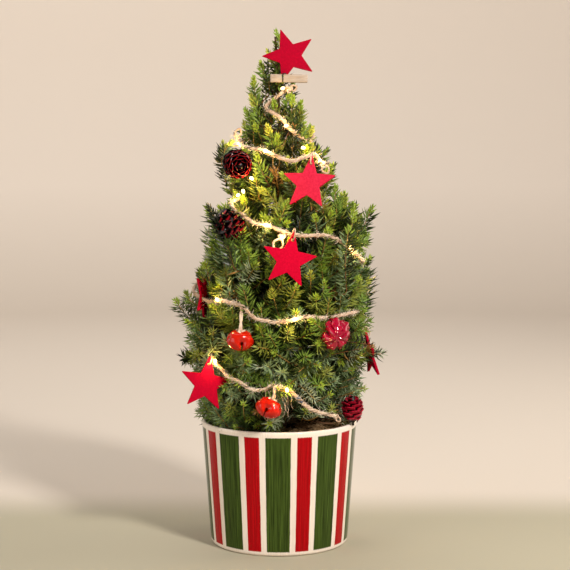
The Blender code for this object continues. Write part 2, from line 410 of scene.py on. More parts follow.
def new_piece(name: str) -> bpy.types.Object:
    """Name the primitive that was just added, mesh and all.

    Args:
        name: Name of the piece.

    Returns:
        The active object.
    """
    piece = bpy.context.object
    piece.name = name
    piece.data.name = name
    return piece


def select_points(piece: bpy.types.Object, test: Callable[[Vector], bool]) -> None:
    """Select vertices by their place, from inside edit mode.

    Args:
        piece: The mesh object in edit mode.
        test: Says whether the vertex at a place is wanted.
    """
    bpy.ops.mesh.select_all(action="DESELECT")
    bpy.ops.object.mode_set(mode="OBJECT")
    for vertex in piece.data.vertices:
        vertex.select = bool(test(vertex.co))
    bpy.ops.object.mode_set(mode="EDIT")


def use_modifier(piece: bpy.types.Object, kind: str, **settings) -> None:
    """Add a modifier to a piece and apply it.

    Args:
        piece: The mesh object.
        kind: Blender's name for the modifier type.
        **settings: Properties of the modifier.
    """
    modifier = piece.modifiers.new(kind.lower(), kind)
    for name, value in settings.items():
        setattr(modifier, name, value)
    pick(piece)
    bpy.ops.object.modifier_apply(modifier=modifier.name)


def smooth(piece: bpy.types.Object, angle_deg: float = 35.0) -> None:
    """Shade a piece smoothly, with its corners above an angle kept sharp."""
    pick(piece)
    bpy.ops.object.shade_smooth_by_angle(angle=math.radians(angle_deg))


def turned(name: str, profile: Sequence[tuple[float, float]], steps: int) -> bpy.types.Object:
    """Turn a profile round the Z axis, as on a wheel or a lathe.

    Args:
        name: Name of the piece.
        profile: Radius and height of each point, from one end on the axis to the other.
        steps: Faces round the axis.

    Returns:
        The turned object, closed and facing outward.
    """
    bpy.ops.object.select_all(action="DESELECT")
    bpy.ops.mesh.primitive_plane_add(size=0.01)
    piece = new_piece(name)
    with editing(piece):
        bpy.ops.mesh.merge(type="CENTER")
        bpy.ops.transform.translate(value=(profile[0][0], 0.0, profile[0][1]))
        for before, after in zip(profile[:-1], profile[1:]):
            step = (after[0] - before[0], 0.0, after[1] - before[1])
            bpy.ops.mesh.extrude_region_move(TRANSFORM_OT_translate={"value": step})
        bpy.ops.mesh.select_all(action="SELECT")
        bpy.ops.mesh.spin(steps=steps, angle=2 * math.pi, center=(0.0, 0.0, 0.0), axis=(0.0, 0.0, 1.0))
        bpy.ops.mesh.select_all(action="SELECT")
        bpy.ops.mesh.remove_doubles(threshold=1e-6)
        bpy.ops.mesh.normals_make_consistent(inside=False)
    return piece


def mesh_copy(name: str, model: bpy.types.Object) -> bpy.types.Object:
    """Copy a modelled piece with a mesh of its own.

    Args:
        name: Name of the copy.
        model: The piece.

    Returns:
        The copy.
    """
    copy = bpy.data.objects.new(name, model.data.copy())
    copy.data.name = name
    bpy.context.scene.collection.objects.link(copy)
    return copy


def arc(
    middle: tuple[float, float], radius: float, start_deg: float, end_deg: float, count: int
) -> list[tuple[float, float]]:
    """List the points of a rounded corner in a profile.

    Args:
        middle: Middle of the rounding, radius and height.
        radius: Radius of the rounding.
        start_deg: Angle of its first point, from outward towards up.
        end_deg: Angle of its last point.
        count: Number of points.

    Returns:
        Radius and height of each point.
    """
    angles = [math.radians(start_deg + (end_deg - start_deg) * i / (count - 1)) for i in range(count)]
    return [(middle[0] + radius * math.cos(a), middle[1] + radius * math.sin(a)) for a in angles]


def copies(
    name: str,
    template: bpy.types.Object,
    places: Sequence[Matrix],
    materials: Sequence[bpy.types.Material],
    slots: Sequence[int] | None = None,
    parts: Sequence[int] | None = None,
) -> bpy.types.Object:
    """Join many placed copies of one modelled shape into one mesh and drop the model.

    Args:
        name: Name of the joined piece.
        template: The shape, modelled at the origin.
        places: Where each copy goes.
        materials: Materials of the joined piece.
        slots: Material number of each copy; all are 0 when left out.
        parts: Material number of each face of the shape, the same in every copy.

    Returns:
        The joined object.
    """
    mesh = template.data
    points = np.array([vertex.co for vertex in mesh.vertices])
    mesh.calc_loop_triangles()
    faces = np.array([triangle.vertices for triangle in mesh.loop_triangles])
    placed = [
        (points @ np.array(place.to_3x3()).T + np.array(place.translation), faces) for place in places
    ]
    all_points, all_faces = joined(placed)
    numbers = None if slots is None else np.repeat(np.array(slots), len(faces))
    if parts is not None:
        numbers = np.tile([parts[triangle.polygon_index] for triangle in mesh.loop_triangles], len(places))
    bpy.data.objects.remove(template)
    return mesh_piece(name, all_points, all_faces, materials, numbers)


# ---------------------------------------------------------------------------------------------
# Studio
# ---------------------------------------------------------------------------------------------


@dataclass
class Studio:
    """Plain pale floor that curves up into a wall, soft lights and the camera."""

    eye: Place = (0.0062, -1.5, 0.397)
    look_down_deg: float = 4.62
    lens_mm: float = 89.0
    bowl_radius: float = 3.4
    bowl_height: float = 2.6
    bowl_curve: float = 0.9

    def build(self) -> None:
        """Make the stage, the lights, the surrounding light and the camera."""
        self.make_camera()
        self.make_bowl()
        self.make_lights()
        self.make_world()

    def make_camera(self) -> None:
        """Place the camera and make it the scene's own."""
        data = bpy.data.cameras.new("camera")
        data.lens = self.lens_mm
        data.sensor_width = 36.0
        data.clip_start = 0.05
        data.clip_end = 20.0
        camera = bpy.data.objects.new("camera", data)
        camera.location = self.eye
        camera.rotation_euler = (math.radians(90.0 - self.look_down_deg), 0.0, 0.0)
        bpy.context.scene.collection.objects.link(camera)
        bpy.context.scene.camera = camera

    def make_bowl(self) -> None:
        """Turn the floor and the wall as one wide bowl, seen from inside."""
        flat = self.bowl_radius - self.bowl_curve
        profile = [(0.0, 0.0), (0.6, 0.0), (1.4, 0.0), (flat, 0.0)]
        profile += arc((flat, self.bowl_curve), self.bowl_curve, -82.0, 0.0, 11)
        profile += [(self.bowl_radius, self.bowl_height)]
        bowl = turned("studio_bowl", profile, 96)
        bowl.data.materials.append(StudioPaint().material())
        smooth(bowl, 60.0)

    def make_lights(self) -> None:
        """Hang a key light, two wide side lights, a top light and one that only washes the wall."""
        middle = (0.0, 0.0, 0.26)
        self.hang_light("key_light", (0.96, -1.39, 1.38), middle, 0.28, 44.0, "fff8f1")
        self.hang_light("left_light", (-1.60, -0.90, 0.80), middle, 1.4, 15.0, "fffaf5")
        self.hang_light("right_light", (1.55, 0.40, 1.00), middle, 1.2, 10.0, "fff6e8")
        self.hang_light("top_light", (-0.2, 0.6, 1.9), middle, 1.2, 9.0, "fffaf5")
        self.hang_light("wall_light", (-0.6, 1.2, 2.3), (0.0, 3.4, 0.9), 1.6, 34.0, "fffaf5")

    def hang_light(
        self, name: str, place: Place, target: Place, size: float, watts: float, tint: str
    ) -> None:
        """Hang one square area light.

        Args:
            name: Name of the light.
            place: Where it hangs.
            target: What it looks at.
            size: Side of the square.
            watts: Its power.
            tint: Its colour as sRGB hex.
        """
        data = bpy.data.lights.new(name, "AREA")
        data.energy = watts
        data.size = size
        data.color = linear(tint)[:3]
        light = bpy.data.objects.new(name, data)
        light.location = place
        aim = Vector(target) - Vector(place)
        light.rotation_euler = aim.to_track_quat("-Z", "Y").to_euler()
        light.visible_camera = False
        bpy.context.scene.collection.objects.link(light)

    def make_world(self) -> None:
        """Surround the stage with even, slightly warm light."""
        world = bpy.data.worlds.new("studio_air")
        world.use_nodes = True
        world.node_tree.nodes.clear()
        sky = add_node(
            world.node_tree, "ShaderNodeBackground", {"Color": linear("fffaf4"), "Strength": 0.15}
        )
        add_node(world.node_tree, "ShaderNodeOutputWorld", {"Surface": sky.outputs["Background"]})
        bpy.context.scene.world = world
        bpy.context.scene.view_settings.view_transform = "Standard"


@dataclass(frozen=True)
class StudioPaint:
    """Matt emulsion on the studio's floor and wall: even, pale and without gloss.

    The floor is a pale grey green under and before the pot and passes softly into warm white behind it.
    """

    near: str = "aba590"
    floor: str = "d1c7bb"
    wall: str = "e6dcd1"
    near_reach: float = 0.08
    near_fade: float = 0.16

    def material(self) -> bpy.types.Material:
        """Return the paint as a material."""
        material, tree, shader = new_material("matt_studio_emulsion")
        place = object_place(tree)
        axes = add_node(tree, "ShaderNodeSeparateXYZ", {0: place})
        share = remap(tree, axes.outputs["Z"], (0.0, 0.35))
        limits = {
            "Value": axes.outputs["Y"],
            "From Min": self.near_reach,
            "From Max": self.near_reach + self.near_fade,
        }
        away = add_node(tree, "ShaderNodeMapRange", limits, interpolation_type="SMOOTHSTEP")
        ground = mix(tree, away.outputs[0], self.near, self.floor)
        colour = mix(tree, share, ground, self.wall)
        feed(tree, shader, {"Base Color": colour, "Roughness": 0.9})
        return material


# ---------------------------------------------------------------------------------------------
# Crown space: what the CAD masses say about the crown
# ---------------------------------------------------------------------------------------------


@dataclass
class LongShoot:
    """A shoot that stands clear of its mass: where it starts and where it ends."""

    start: np.ndarray
    tip: np.ndarray


@dataclass
class Mass:
    """One foliage mass of the CAD with the bough that carries it."""

    name: str
    points: np.ndarray
    triangles: np.ndarray
    bough_tip: np.ndarray
    bough_way: np.ndarray
    long_shoots: list[LongShoot] = field(default_factory=list)

    @property
    def whorl(self) -> str:
        """Name of the whorl that the mass belongs to."""
        return self.name.split("_")[1]


@dataclass
class CrownSpace:
    """Reads the CAD masses: their outer skin, their long shoots and the way in from outside."""

    seam_mm: float = 1.2
    spire_foot: Place = (-0.0025, 0.0, 0.480)
    masses: list[Mass] = field(default_factory=list)
    whole: BVHTree = field(init=False)
    skin: BVHTree = field(init=False)

    def read(self) -> None:
        """Read every mass and find the triangles that face the open air."""
        for name in sorted(n for n in NODES if n.startswith("foliage_")):
            points, triangles = cad_mesh(name)
            tip, way = self.read_bough(name.replace("foliage_", "bough_"))
            self.masses.append(Mass(name, points, triangles, tip, way))
        points, whole = joined([(mass.points, mass.triangles) for mass in self.masses])
        _, triangles = joined(
            [(mass.points, mass.triangles[self.outer_triangles(mass)]) for mass in self.masses]
        )
        self.whole = BVHTree.FromPolygons([Vector(p) for p in points], whole.tolist())
        self.skin = BVHTree.FromPolygons([Vector(p) for p in points], triangles.tolist())
        LOG.info("crown: %d masses, %d skin triangles", len(self.masses), len(triangles))

    def read_bough(self, name: str) -> Pair:
        """Find where a bough ends and which way it points.

        Args:
            name: Name of the bough's node; the spire has none and starts on the trunk.

        Returns:
            The bough's end and its direction.
        """
        if name not in NODES:
            return np.array(self.spire_foot), np.array((0.0, 0.0, 1.0))
        points, _ = cad_mesh(name)
        reach = np.hypot(points[:, 0], points[:, 1])
        order = reach.argsort()
        end = points[order[-6:]].mean(0)
        start = points[order[:6]].mean(0)
        return end, unit(end - start)

    def outer_triangles(self, mass: Mass) -> np.ndarray:
        """Say which triangles of a mass face the open air.

        Args:
            mass: The mass whose triangles are tested.

        Returns:
            One truth value for each triangle.
        """
        points, triangles = joined([(m.points, m.triangles) for m in self.masses if m is not mass])
        tree = BVHTree.FromPolygons([Vector(p) for p in points], triangles.tolist())
        corners = mass.points[mass.triangles]
        middle = corners.mean(1)
        normal = unit(np.cross(corners[:, 1] - corners[:, 0], corners[:, 2] - corners[:, 0]))
        kept = np.ones(len(middle), bool)
        for i, (place, way) in enumerate(zip(middle, normal)):
            radial = outward(place)
            reach = math.hypot(place[0], place[1])
            near = tree.find_nearest(Vector(place))
            if near[3] is not None and near[3] < self.seam_mm * MM:
                kept[i] = False
            elif way @ radial < -0.25 and reach < 0.03:
                kept[i] = False
        return kept

    def depth(self, place: np.ndarray) -> float:
        """Distance from a point to the crown's outer skin."""
        return float(self.skin.find_nearest(Vector(place))[3])

    def open_to(self, place: np.ndarray, way: np.ndarray, reach: float = 0.25) -> bool:
        """Say whether nothing of the crown lies in a direction from a point.

        Args:
            place: Start of the sight line.
            way: Direction of the sight line.
            reach: How far it looks.

        Returns:
            True when the line leaves the crown.
        """
        hit = self.whole.ray_cast(Vector(place), Vector(way), reach)
        return hit[0] is None

    def front(self, x_mm: float, z_mm: float, proud_mm: float = 0.0) -> np.ndarray:
        """Find the crown's surface on the camera's line through a point of the trunk's plane.

        Args:
            x_mm: Place across, where the line crosses the plane through the trunk.
            z_mm: Height of that crossing.
            proud_mm: How far the result stands in front of the surface.

        Returns:
            A point on the line, or in the plane itself where the line misses the crown.
        """
        eye = np.array(Studio.eye)
        goal = np.array((x_mm * MM, 0.0, z_mm * MM))
        way = unit(goal - eye)
        hit = self.whole.ray_cast(Vector(eye), Vector(way))
        place = goal if hit[0] is None else np.array(hit[0])
        return place - way * proud_mm * MM

    def around(self, turn: float, height: float, proud_mm: float = 0.0) -> np.ndarray:
        """Find the crown's outside at a height, seen from the side at an angle.

        Args:
            turn: Angle round the trunk, from +X towards +Y.
            height: Height above the ground.
            proud_mm: How far the result stands outside the surface.

        Returns:
            The point on the surface.
        """
        way = np.array((math.cos(turn), math.sin(turn), 0.0))
        hit = self.whole.ray_cast(Vector(way * 0.3 + (0.0, 0.0, height)), Vector(-way), 0.3)
        reach = 0.02 if hit[0] is None else 0.3 - hit[3]
        return way * (reach + proud_mm * MM) + np.array((0.0, 0.0, height))


# ---------------------------------------------------------------------------------------------
# Growth: seeded shoots and the twigs that carry them
# ---------------------------------------------------------------------------------------------


class Tone(Enum):
    """Needle colours that are dealt out by spray; SHADE and DEEP also serve as painted shade for needles
    deep in the crown.
    """

    SHADE = 0
    DEEP = 1
    LEAF = 2
    OLIVE = 3
    GLAUCOUS = 4
    SILVER = 5
    FRESH = 6
    LIME = 7
    SULPHUR = 8
    STRAW = 9


@dataclass
class Strand:
    """One unbroken run of twig from its fork to its tip."""

    points: np.ndarray
    radii: np.ndarray
    whorl: str
    green_from: float
    tone: Tone
    tip_tone: Tone
    tip_length: float
    thickness: float
    outer: bool


class Rank(Enum):
    """How a shoot stands in the crown, from its dark inside to clear of its skin."""

    INNER = 0
    SKIN = 1
    CORNER = 2
    CLEAR = 3


@dataclass
class Growth:
    """Seeded branching rule that fills each mass with shoots grown on from its bough."""

    seed: int = 41
    spacing_mm_table: Table = (
        (0.15, 14.0), (0.22, 14.5), (0.30, 17.0), (0.38, 19.5), (0.43, 22.5), (0.50, 23.0)
    )
    inner_spacing_mm: float = 15.5
    skin_tries: int = 900
    inner_tries: int = 700
    browned_length: float = 0.011
    inner_thickness: float = 0.00155
    knot_step: float = 0.006
    tip_radius: float = 0.00042
    pipe_power: float = 2.35
    browned: tuple[Place, ...] = ((0.0975, -0.040, 0.215), (-0.030, -0.088, 0.150))
    cleared: tuple[tuple[Place, Place], ...] = (
        ((-0.096, -0.085, 0.240), (-0.0765, -0.010, 0.294)),
        ((0.008, -0.100, 0.110), (0.070, 0.020, 0.146)),
        ((0.062, -0.110, 0.128), (0.102, -0.028, 0.168)),
    )
    standing_mm: tuple[tuple[Place, Place], ...] = (
        ((-12.8, 0.0, 488.7), (-19.6, 0.0, 511.2)),
        ((-18.0, -12.0, 442.2), (-29.4, -12.0, 476.5)),
        ((-24.5, -4.0, 419.3), (-34.9, -4.0, 461.3)),
        ((18.9, -6.0, 429.7), (23.6, -6.0, 469.5)),
        ((8.3, -20.0, 458.5), (11.9, -20.0, 479.2)),
        ((-4.1, -34.0, 418.8), (-12.4, -38.0, 443.5)),
        ((27.3, -10.0, 417.1), (34.6, -10.0, 442.2)),
        ((41.4, 8.0, 403.5), (51.0, 8.0, 419.5)),
        ((46.0, -20.0, 381.5), (57.5, -20.0, 403.4)),
        ((59.0, -10.0, 350.8), (69.5, -10.0, 373.0)),
        ((74.5, -20.0, 337.5), (80.7, -20.0, 361.6)),
        ((-59.7, -20.0, 408.6), (-49.2, -20.0, 427.4)),
        ((-45.3, -80.0, 299.5), (-71.8, -62.0, 361.0)),
        ((-56.1, -14.0, 301.3), (-69.8, -14.0, 324.6)),
        ((-69.4, -5.0, 260.2), (-84.2, -5.0, 292.2)),
        ((-74.5, -14.0, 213.0), (-94.5, -14.0, 237.6)),
        ((78.3, -10.0, 281.9), (96.4, -10.0, 305.3)),
        ((73.4, -6.0, 238.8), (90.3, -6.0, 257.0)),
        ((70.0, -36.0, 197.0), (101.5, -34.0, 207.0)),
        ((80.0, -40.0, 202.0), (97.5, -40.0, 215.0)),
    )
    standing_behind: int = 16
    rise_table: Table = (
        (0.14, -4.0), (0.19, 10.0), (0.24, 26.0), (0.29, 48.0), (0.34, 60.0), (0.42, 68.0), (0.50, 76.0)
    )
    length_table: Table = ((0.14, 0.044), (0.30, 0.050), (0.38, 0.046), (0.46, 0.040), (0.52, 0.032))
    tip_chance_table: Table = ((0.16, 0.10), (0.23, 0.26), (0.32, 0.48), (0.44, 0.85))
    thickness_table: Table = (
        (0.16, 0.00124), (0.22, 0.00128), (0.29, 0.00146), (0.40, 0.00182), (0.52, 0.00200)
    )
    # Weights of DEEP, LEAF, OLIVE, GLAUCOUS and SILVER for each rank, INNER to CLEAR; corner and clear
    # shoots draw fewer dark DEEP needles, partly painted light on the shoots that stand out.
    rank_share: tuple[tuple[float, ...], ...] = (
        (1.0, 1.0, 1.0, 1.0, 1.0),
        (1.5, 1.0, 1.0, 1.0, 1.0),
        (0.5, 1.0, 1.0, 1.0, 1.0),
        (0.1, 1.3, 1.3, 0.3, 0.3),
    )
    strands: list[Strand] = field(default_factory=list)
    space: CrownSpace = field(init=False)
    draw: np.random.Generator = field(init=False)

    def grow(self, space: CrownSpace) -> None:
        """Grow every mass in turn.

        Args:
            space: The crown that is filled.
        """
        self.space = space
        self.draw = np.random.default_rng(self.seed)
        self.place_standing(space)
        taken: list[np.ndarray] = []
        for mass in space.masses:
            self.grow_mass(mass, taken)
        for place in self.browned:
            nearest = min(self.strands, key=lambda strand: float(np.linalg.norm(strand.points[-1] - place)))
            nearest.tip_tone = Tone.STRAW
            nearest.tip_length = self.browned_length
        LOG.info("growth: %d strands", len(self.strands))

    def place_standing(self, space: CrownSpace) -> None:
        """Give the masses their shoots that stand clear: the named ones in front and drawn ones behind.

        Args:
            space: The crown.
        """
        shoots = [LongShoot(np.array(start) * MM, np.array(tip) * MM) for start, tip in self.standing_mm]
        for _ in range(self.standing_behind):
            turn = self.draw.uniform(0.05, math.pi - 0.05)
            tip = space.around(turn, self.draw.uniform(0.19, 0.46), self.draw.uniform(2.0, 6.5))
            way = self.shoot_way(tip, np.zeros(3))
            shoots.append(LongShoot(tip - way * self.draw.uniform(0.024, 0.034), tip))
        for shoot in shoots:
            gaps = [float(np.linalg.norm(mass.points - shoot.start, axis=1).min()) for mass in space.masses]
            space.masses[int(np.argmin(gaps))].long_shoots.append(shoot)

    def shoot_way(self, place: np.ndarray, normal: np.ndarray) -> np.ndarray:
        """Choose the direction of a shoot that ends at a place.

        Args:
            place: Where the shoot ends.
            normal: Outward direction of the crown there.

        Returns:
            Unit direction of growth.
        """
        side = unit(np.array((place[0], place[1], 0.0)) + np.array((normal[0], normal[1], 0.0)) * 0.03)
        rise = math.radians(step_between(place[2], self.rise_table) + self.draw.normal(0.0, 17.0))
        if normal[2] < -0.5:
            rise -= math.radians(14.0)
        elif normal[2] > 0.6:
            rise += math.radians(12.0)
        turn = self.draw.normal(0.0, 0.45)
        across = np.array((-side[1], side[0], 0.0))
        level = side * math.cos(turn) + across * math.sin(turn)
        rise = min(rise, math.radians(86.0))
        return level * math.cos(rise) + np.array((0.0, 0.0, math.sin(rise)))

    def skin_samples(
        self, mass: Mass, taken: list[np.ndarray]
    ) -> list[tuple[np.ndarray, np.ndarray, bool]]:
        """Scatter shoot ends over the open side of a mass, its own corners first.

        Args:
            mass: The mass.
            taken: Ends that earlier masses have used; the new ones join it.

        Returns:
            Place, outward direction and whether it is one of the mass's corners.
        """
        corners = mass.points[mass.triangles]
        cross = np.cross(corners[:, 1] - corners[:, 0], corners[:, 2] - corners[:, 0])
        area = np.linalg.norm(cross, axis=1) / 2
        normals = unit(cross)
        vertex_normals = np.zeros_like(mass.points)
        for i in range(3):
            np.add.at(vertex_normals, mass.triangles[:, i], cross)
        vertex_normals = unit(vertex_normals)
        centre = mass.points.mean(0)
        reach = np.linalg.norm((mass.points - centre) * (1.0, 1.0, 0.8), axis=1)
        order = [
            i for i in reach.argsort()[::-1] if np.linalg.norm(mass.points[i] - mass.bough_tip) > 0.016
        ]
        wanted = [(mass.points[i], vertex_normals[i], True) for i in order]
        picks = self.draw.choice(len(area), size=self.skin_tries, p=area / area.sum())
        mix = self.draw.dirichlet((1.0, 1.0, 1.0), size=self.skin_tries)
        for pick, share in zip(picks, mix):
            wanted.append((share @ corners[pick], normals[pick], False))
        found: list[tuple[np.ndarray, np.ndarray, bool]] = []
        for place, normal, corner in wanted:
            spacing = step_between(place[2], self.spacing_mm_table)
            if taken and np.min(np.linalg.norm(np.array(taken) - place, axis=1)) < spacing * MM:
                continue
            radial = outward(place)
            start = place + normal * 0.002
            rising = unit(radial + np.array((0.0, 0.0, 0.6)))
            if normal @ radial < -0.5 or self.in_gap(place):
                continue
            if not (self.space.open_to(start, radial) or self.space.open_to(start, rising)):
                continue
            taken.append(place)
            found.append((place, normal, corner))
        return found

    def in_gap(self, place: np.ndarray) -> bool:
        """Tell whether a place lies in a box that shoots leave open, as over the pot's rim."""
        return any(np.all(place > below) and np.all(place < above) for below, above in self.cleared)

    def inner_samples(self, mass: Mass) -> list[np.ndarray]:
        """Scatter shoot ends through the inside of a mass.

        Args:
            mass: The mass.

        Returns:
            Places between 10 and 45 mm under the skin.
        """
        tree = BVHTree.FromPolygons([Vector(p) for p in mass.points], mass.triangles.tolist())
        low, high = mass.points.min(0), mass.points.max(0)
        found: list[np.ndarray] = []
        for _ in range(self.inner_tries):
            place = self.draw.uniform(low, high)
            near = tree.find_nearest(Vector(place))
            inside = (Vector(place) - near[0]).dot(near[1]) < 0
            if not inside or near[3] < 0.003 or self.in_gap(place):
                continue
            narrow = place[2] > 0.38
            if not (0.005 if narrow else 0.010) < self.space.depth(place) < 0.050:
                continue
            spacing = self.inner_spacing_mm * (1.1 if narrow else 1.0)
            if found and np.min(np.linalg.norm(np.array(found) - place, axis=1)) < spacing * MM:
                continue
            found.append(place)
        return found

    def grow_mass(self, mass: Mass, taken: list[np.ndarray]) -> None:
        """Fill one mass: the nearest shoots first, each forking off what already stands.

        Args:
            mass: The mass.
            taken: Shoot ends used so far in the whole crown.
        """
        goals: list[tuple[np.ndarray, np.ndarray, float, Rank]] = []
        for place, normal, corner in self.skin_samples(mass, taken):
            way = self.shoot_way(place, normal)
            length = step_between(place[2], self.length_table) * self.draw.uniform(0.72, 1.25)
            if corner:
                inset = 0.0055 if place[2] > 0.50 else 0.0025
            else:
                inset = self.draw.uniform(0.001, 0.007 + 0.006 * (place[2] > 0.36))
            rank = Rank.CORNER if corner else Rank.SKIN
            goals.append((place - normal * inset, way, length * (1.3 if corner else 1.0), rank))
        for shoot in mass.long_shoots:
            reach = float(np.linalg.norm(shoot.tip - shoot.start))
            goals.append((shoot.tip, unit(shoot.tip - shoot.start), reach, Rank.CLEAR))
        for place in self.inner_samples(mass):
            way = self.shoot_way(place, np.zeros(3))
            goals.append((place, way, self.draw.uniform(0.014, 0.028), Rank.INNER))
        knots = [mass.bough_tip - mass.bough_way * 0.004, mass.bough_tip]
        ways = [mass.bough_way, mass.bough_way]
        paths = [0.0, 0.004]
        parents = [-1, 0]
        runs: list[tuple[list[int], float, Rank]] = []
        goals.sort(key=lambda goal: float(np.linalg.norm(goal[0] - goal[1] * goal[2] - mass.bough_tip)))
        for tip, way, length, rank in goals:
            length = min(length, 0.9 * float(np.linalg.norm(tip - mass.bough_tip)))
            base = tip - way * length
            fork = self.choose_fork(np.array(knots), np.array(ways), np.array(paths), base, way)
            curve = self.draw_curve(knots[fork], ways[fork], base, way, tip)
            run = [fork]
            for a, b in zip(curve[:-1], curve[1:]):
                knots.append(b)
                ways.append(unit(b - a))
                paths.append(paths[run[-1]] + float(np.linalg.norm(b - a)))
                parents.append(run[-1])
                run.append(len(knots) - 1)
            runs.append((run, length, rank))
        self.thicken(mass, np.array(knots), parents, runs)

    def choose_fork(
        self, knots: np.ndarray, ways: np.ndarray, paths: np.ndarray, base: np.ndarray, way: np.ndarray
    ) -> int:
        """Choose the knot from which the next shoot's twig forks off.

        Args:
            knots: Knots of the twigs grown so far, n by 3.
            ways: Direction of growth at each.
            paths: Way along the wood from the bough to each.
            base: Where the new shoot begins.
            way: Direction of the new shoot.

        Returns:
            Number of the knot.
        """
        gap = base - knots
        distance = np.linalg.norm(gap, axis=1)
        forward = np.einsum("ij,ij->i", gap / np.maximum(distance, 1e-6)[:, None], ways)
        cost = distance + 0.42 * paths + 0.010 * (1.0 - forward)
        cost += 0.008 * (1.0 - ways @ way)
        return int(cost.argmin())

    def draw_curve(
        self, start: np.ndarray, start_way: np.ndarray, base: np.ndarray, way: np.ndarray, tip: np.ndarray
    ) -> np.ndarray:
        """Draw the bent line of a twig from its fork through its shoot's base to its tip.

        Args:
            start: Place of the fork.
            start_way: Direction of the wood at the fork.
            base: Where the shoot begins.
            way: Direction of the shoot.
            tip: Where it ends.

        Returns:
            Points of the line, the fork first.
        """
        gap = float(np.linalg.norm(base - start))
        leave = unit(start_way * 0.5 + unit(base - start) + self.draw.normal(0.0, 0.12, 3))
        points = [start]
        if gap > 0.0025:
            count = max(1, round(gap / self.knot_step))
            for i in range(1, count + 1):
                t = i / count
                blend = (2 * t**3 - 3 * t**2 + 1, t**3 - 2 * t**2 + t, -2 * t**3 + 3 * t**2, t**3 - t**2)
                points.append(
                    blend[0] * start + blend[1] * leave * gap + blend[2] * base + blend[3] * way * gap
                )
        length = float(np.linalg.norm(tip - base))
        bow = np.cross(way, self.draw.normal(0.0, 1.0, 3)) * length * 0.05
        sag = np.array((0.0, 0.0, -0.10 * length * (1.0 - abs(way[2]))))
        count = max(2, round(length / self.knot_step))
        for i in range(1, count + 1):
            t = i / count
            points.append(base + (tip - base) * t + (bow + sag) * math.sin(math.pi * t))
        return np.array(points)

    def thicken(
        self, mass: Mass, knots: np.ndarray, parents: list[int], runs: list[tuple[list[int], float, Rank]]
    ) -> None:
        """Give the wood its thickness by the pipe rule and store its strands.

        Args:
            mass: The mass that the strands belong to.
            knots: Places of all knots.
            parents: The knot before each.
            runs: Knot numbers, shoot length and rank of each strand.
        """
        load = np.zeros(len(knots))
        for run, *_ in runs:
            load[run[-1]] += 1.0
        for i in range(len(knots) - 1, 0, -1):
            load[parents[i]] += load[i]
        radius = self.tip_radius * np.maximum(load, 1.0) ** (1.0 / self.pipe_power)
        for run, length, rank in runs:
            points = knots[run]
            ends = np.linalg.norm(np.diff(points, axis=0), axis=1).sum()
            radii = radius[run].copy()
            radii[0] = radii[1]
            looks = self.choose_tones(points[-1], rank, length)
            outer = rank is not Rank.INNER
            self.strands.append(Strand(points, radii, mass.whorl, float(ends - length), *looks, outer))

    def choose_tones(self, tip: np.ndarray, rank: Rank, length: float) -> tuple[Tone, Tone, float, float]:
        """Deal a shoot its needle colours.

        Args:
            tip: Where the shoot ends.
            rank: How it stands in the crown.
            length: Its length.

        Returns:
            Colour of its needles, colour of its tip, length of the tip and needle thickness.
        """
        high = min(max((tip[2] - 0.14) / 0.38, 0.0), 1.0)
        if rank is Rank.INNER:
            # Inner shoots mostly take the dark SHADE and DEEP greens: painted shade inside the crown.
            tone = self.draw.choice(
                [Tone.SHADE, Tone.DEEP, Tone.OLIVE, Tone.STRAW], p=[0.42, 0.38, 0.14, 0.06]
            )
            return tone, tone, 0.0, self.inner_thickness
        old = [Tone.DEEP, Tone.LEAF, Tone.OLIVE, Tone.GLAUCOUS, Tone.SILVER]
        low_share = np.array((0.17, 0.14, 0.06, 0.43, 0.20))
        high_share = np.array((0.20, 0.46, 0.20, 0.11, 0.03))
        cool = min(max((0.24 - tip[2]) / 0.07, 0.0), 1.0)
        share = (low_share * cool + high_share * (1.0 - cool)) * self.rank_share[rank.value]
        tone = self.draw.choice(old, p=share / share.sum())
        chance = step_between(tip[2], self.tip_chance_table)
        chance += 0.25 * (rank.value - 1)
        thick = step_between(tip[2], self.thickness_table)
        if self.draw.random() > chance:
            return tone, tone, 0.0, thick
        fresh = [Tone.FRESH, Tone.LIME, Tone.SULPHUR]
        tip_tone = self.draw.choice(fresh, p=[0.42, 0.42, 0.16])
        reach = (self.draw.uniform(0.003, 0.007) + 0.008 * high) * (1.6 if rank is Rank.CLEAR else 1.0)
        return tone, tip_tone, min(reach, 0.45 * length), thick


# ---------------------------------------------------------------------------------------------
# Needles
# ---------------------------------------------------------------------------------------------


@dataclass(frozen=True)
class NeedleWax:
    """Waxy spruce needle, grown smooth: a dim sheen over one even green for each spray.

    The colour of each spray is a plain base colour, so the sprays and not a pattern carry the tints; the
    dark SHADE and DEEP greens also carry painted shade inside the crown.
    """

    colours: tuple[tuple[Tone, str], ...] = (
        (Tone.SHADE, "1a240a"),
        (Tone.DEEP, "35481a"),
        (Tone.LEAF, "75913a"),
        (Tone.OLIVE, "8c963f"),
        (Tone.GLAUCOUS, "7f9569"),
        (Tone.SILVER, "a6b293"),
        (Tone.FRESH, "8aa437"),
        (Tone.LIME, "a0b83c"),
        (Tone.SULPHUR, "b8be4c"),
        (Tone.STRAW, "9a7133"),
    )
    roughness: float = 0.42

    def materials(self) -> list[bpy.types.Material]:
        """Return one plain material for each tone, in the order of Tone."""
        made = []
        for tone, colour in self.colours:
            material, _, shader = new_material(f"spruce_needle_{tone.name.lower()}")
            shader.inputs["Base Color"].default_value = linear(colour)
            shader.inputs["Roughness"].default_value = self.roughness
            shader.inputs["Specular IOR Level"].default_value = 0.45
            made.append(material)
        return made


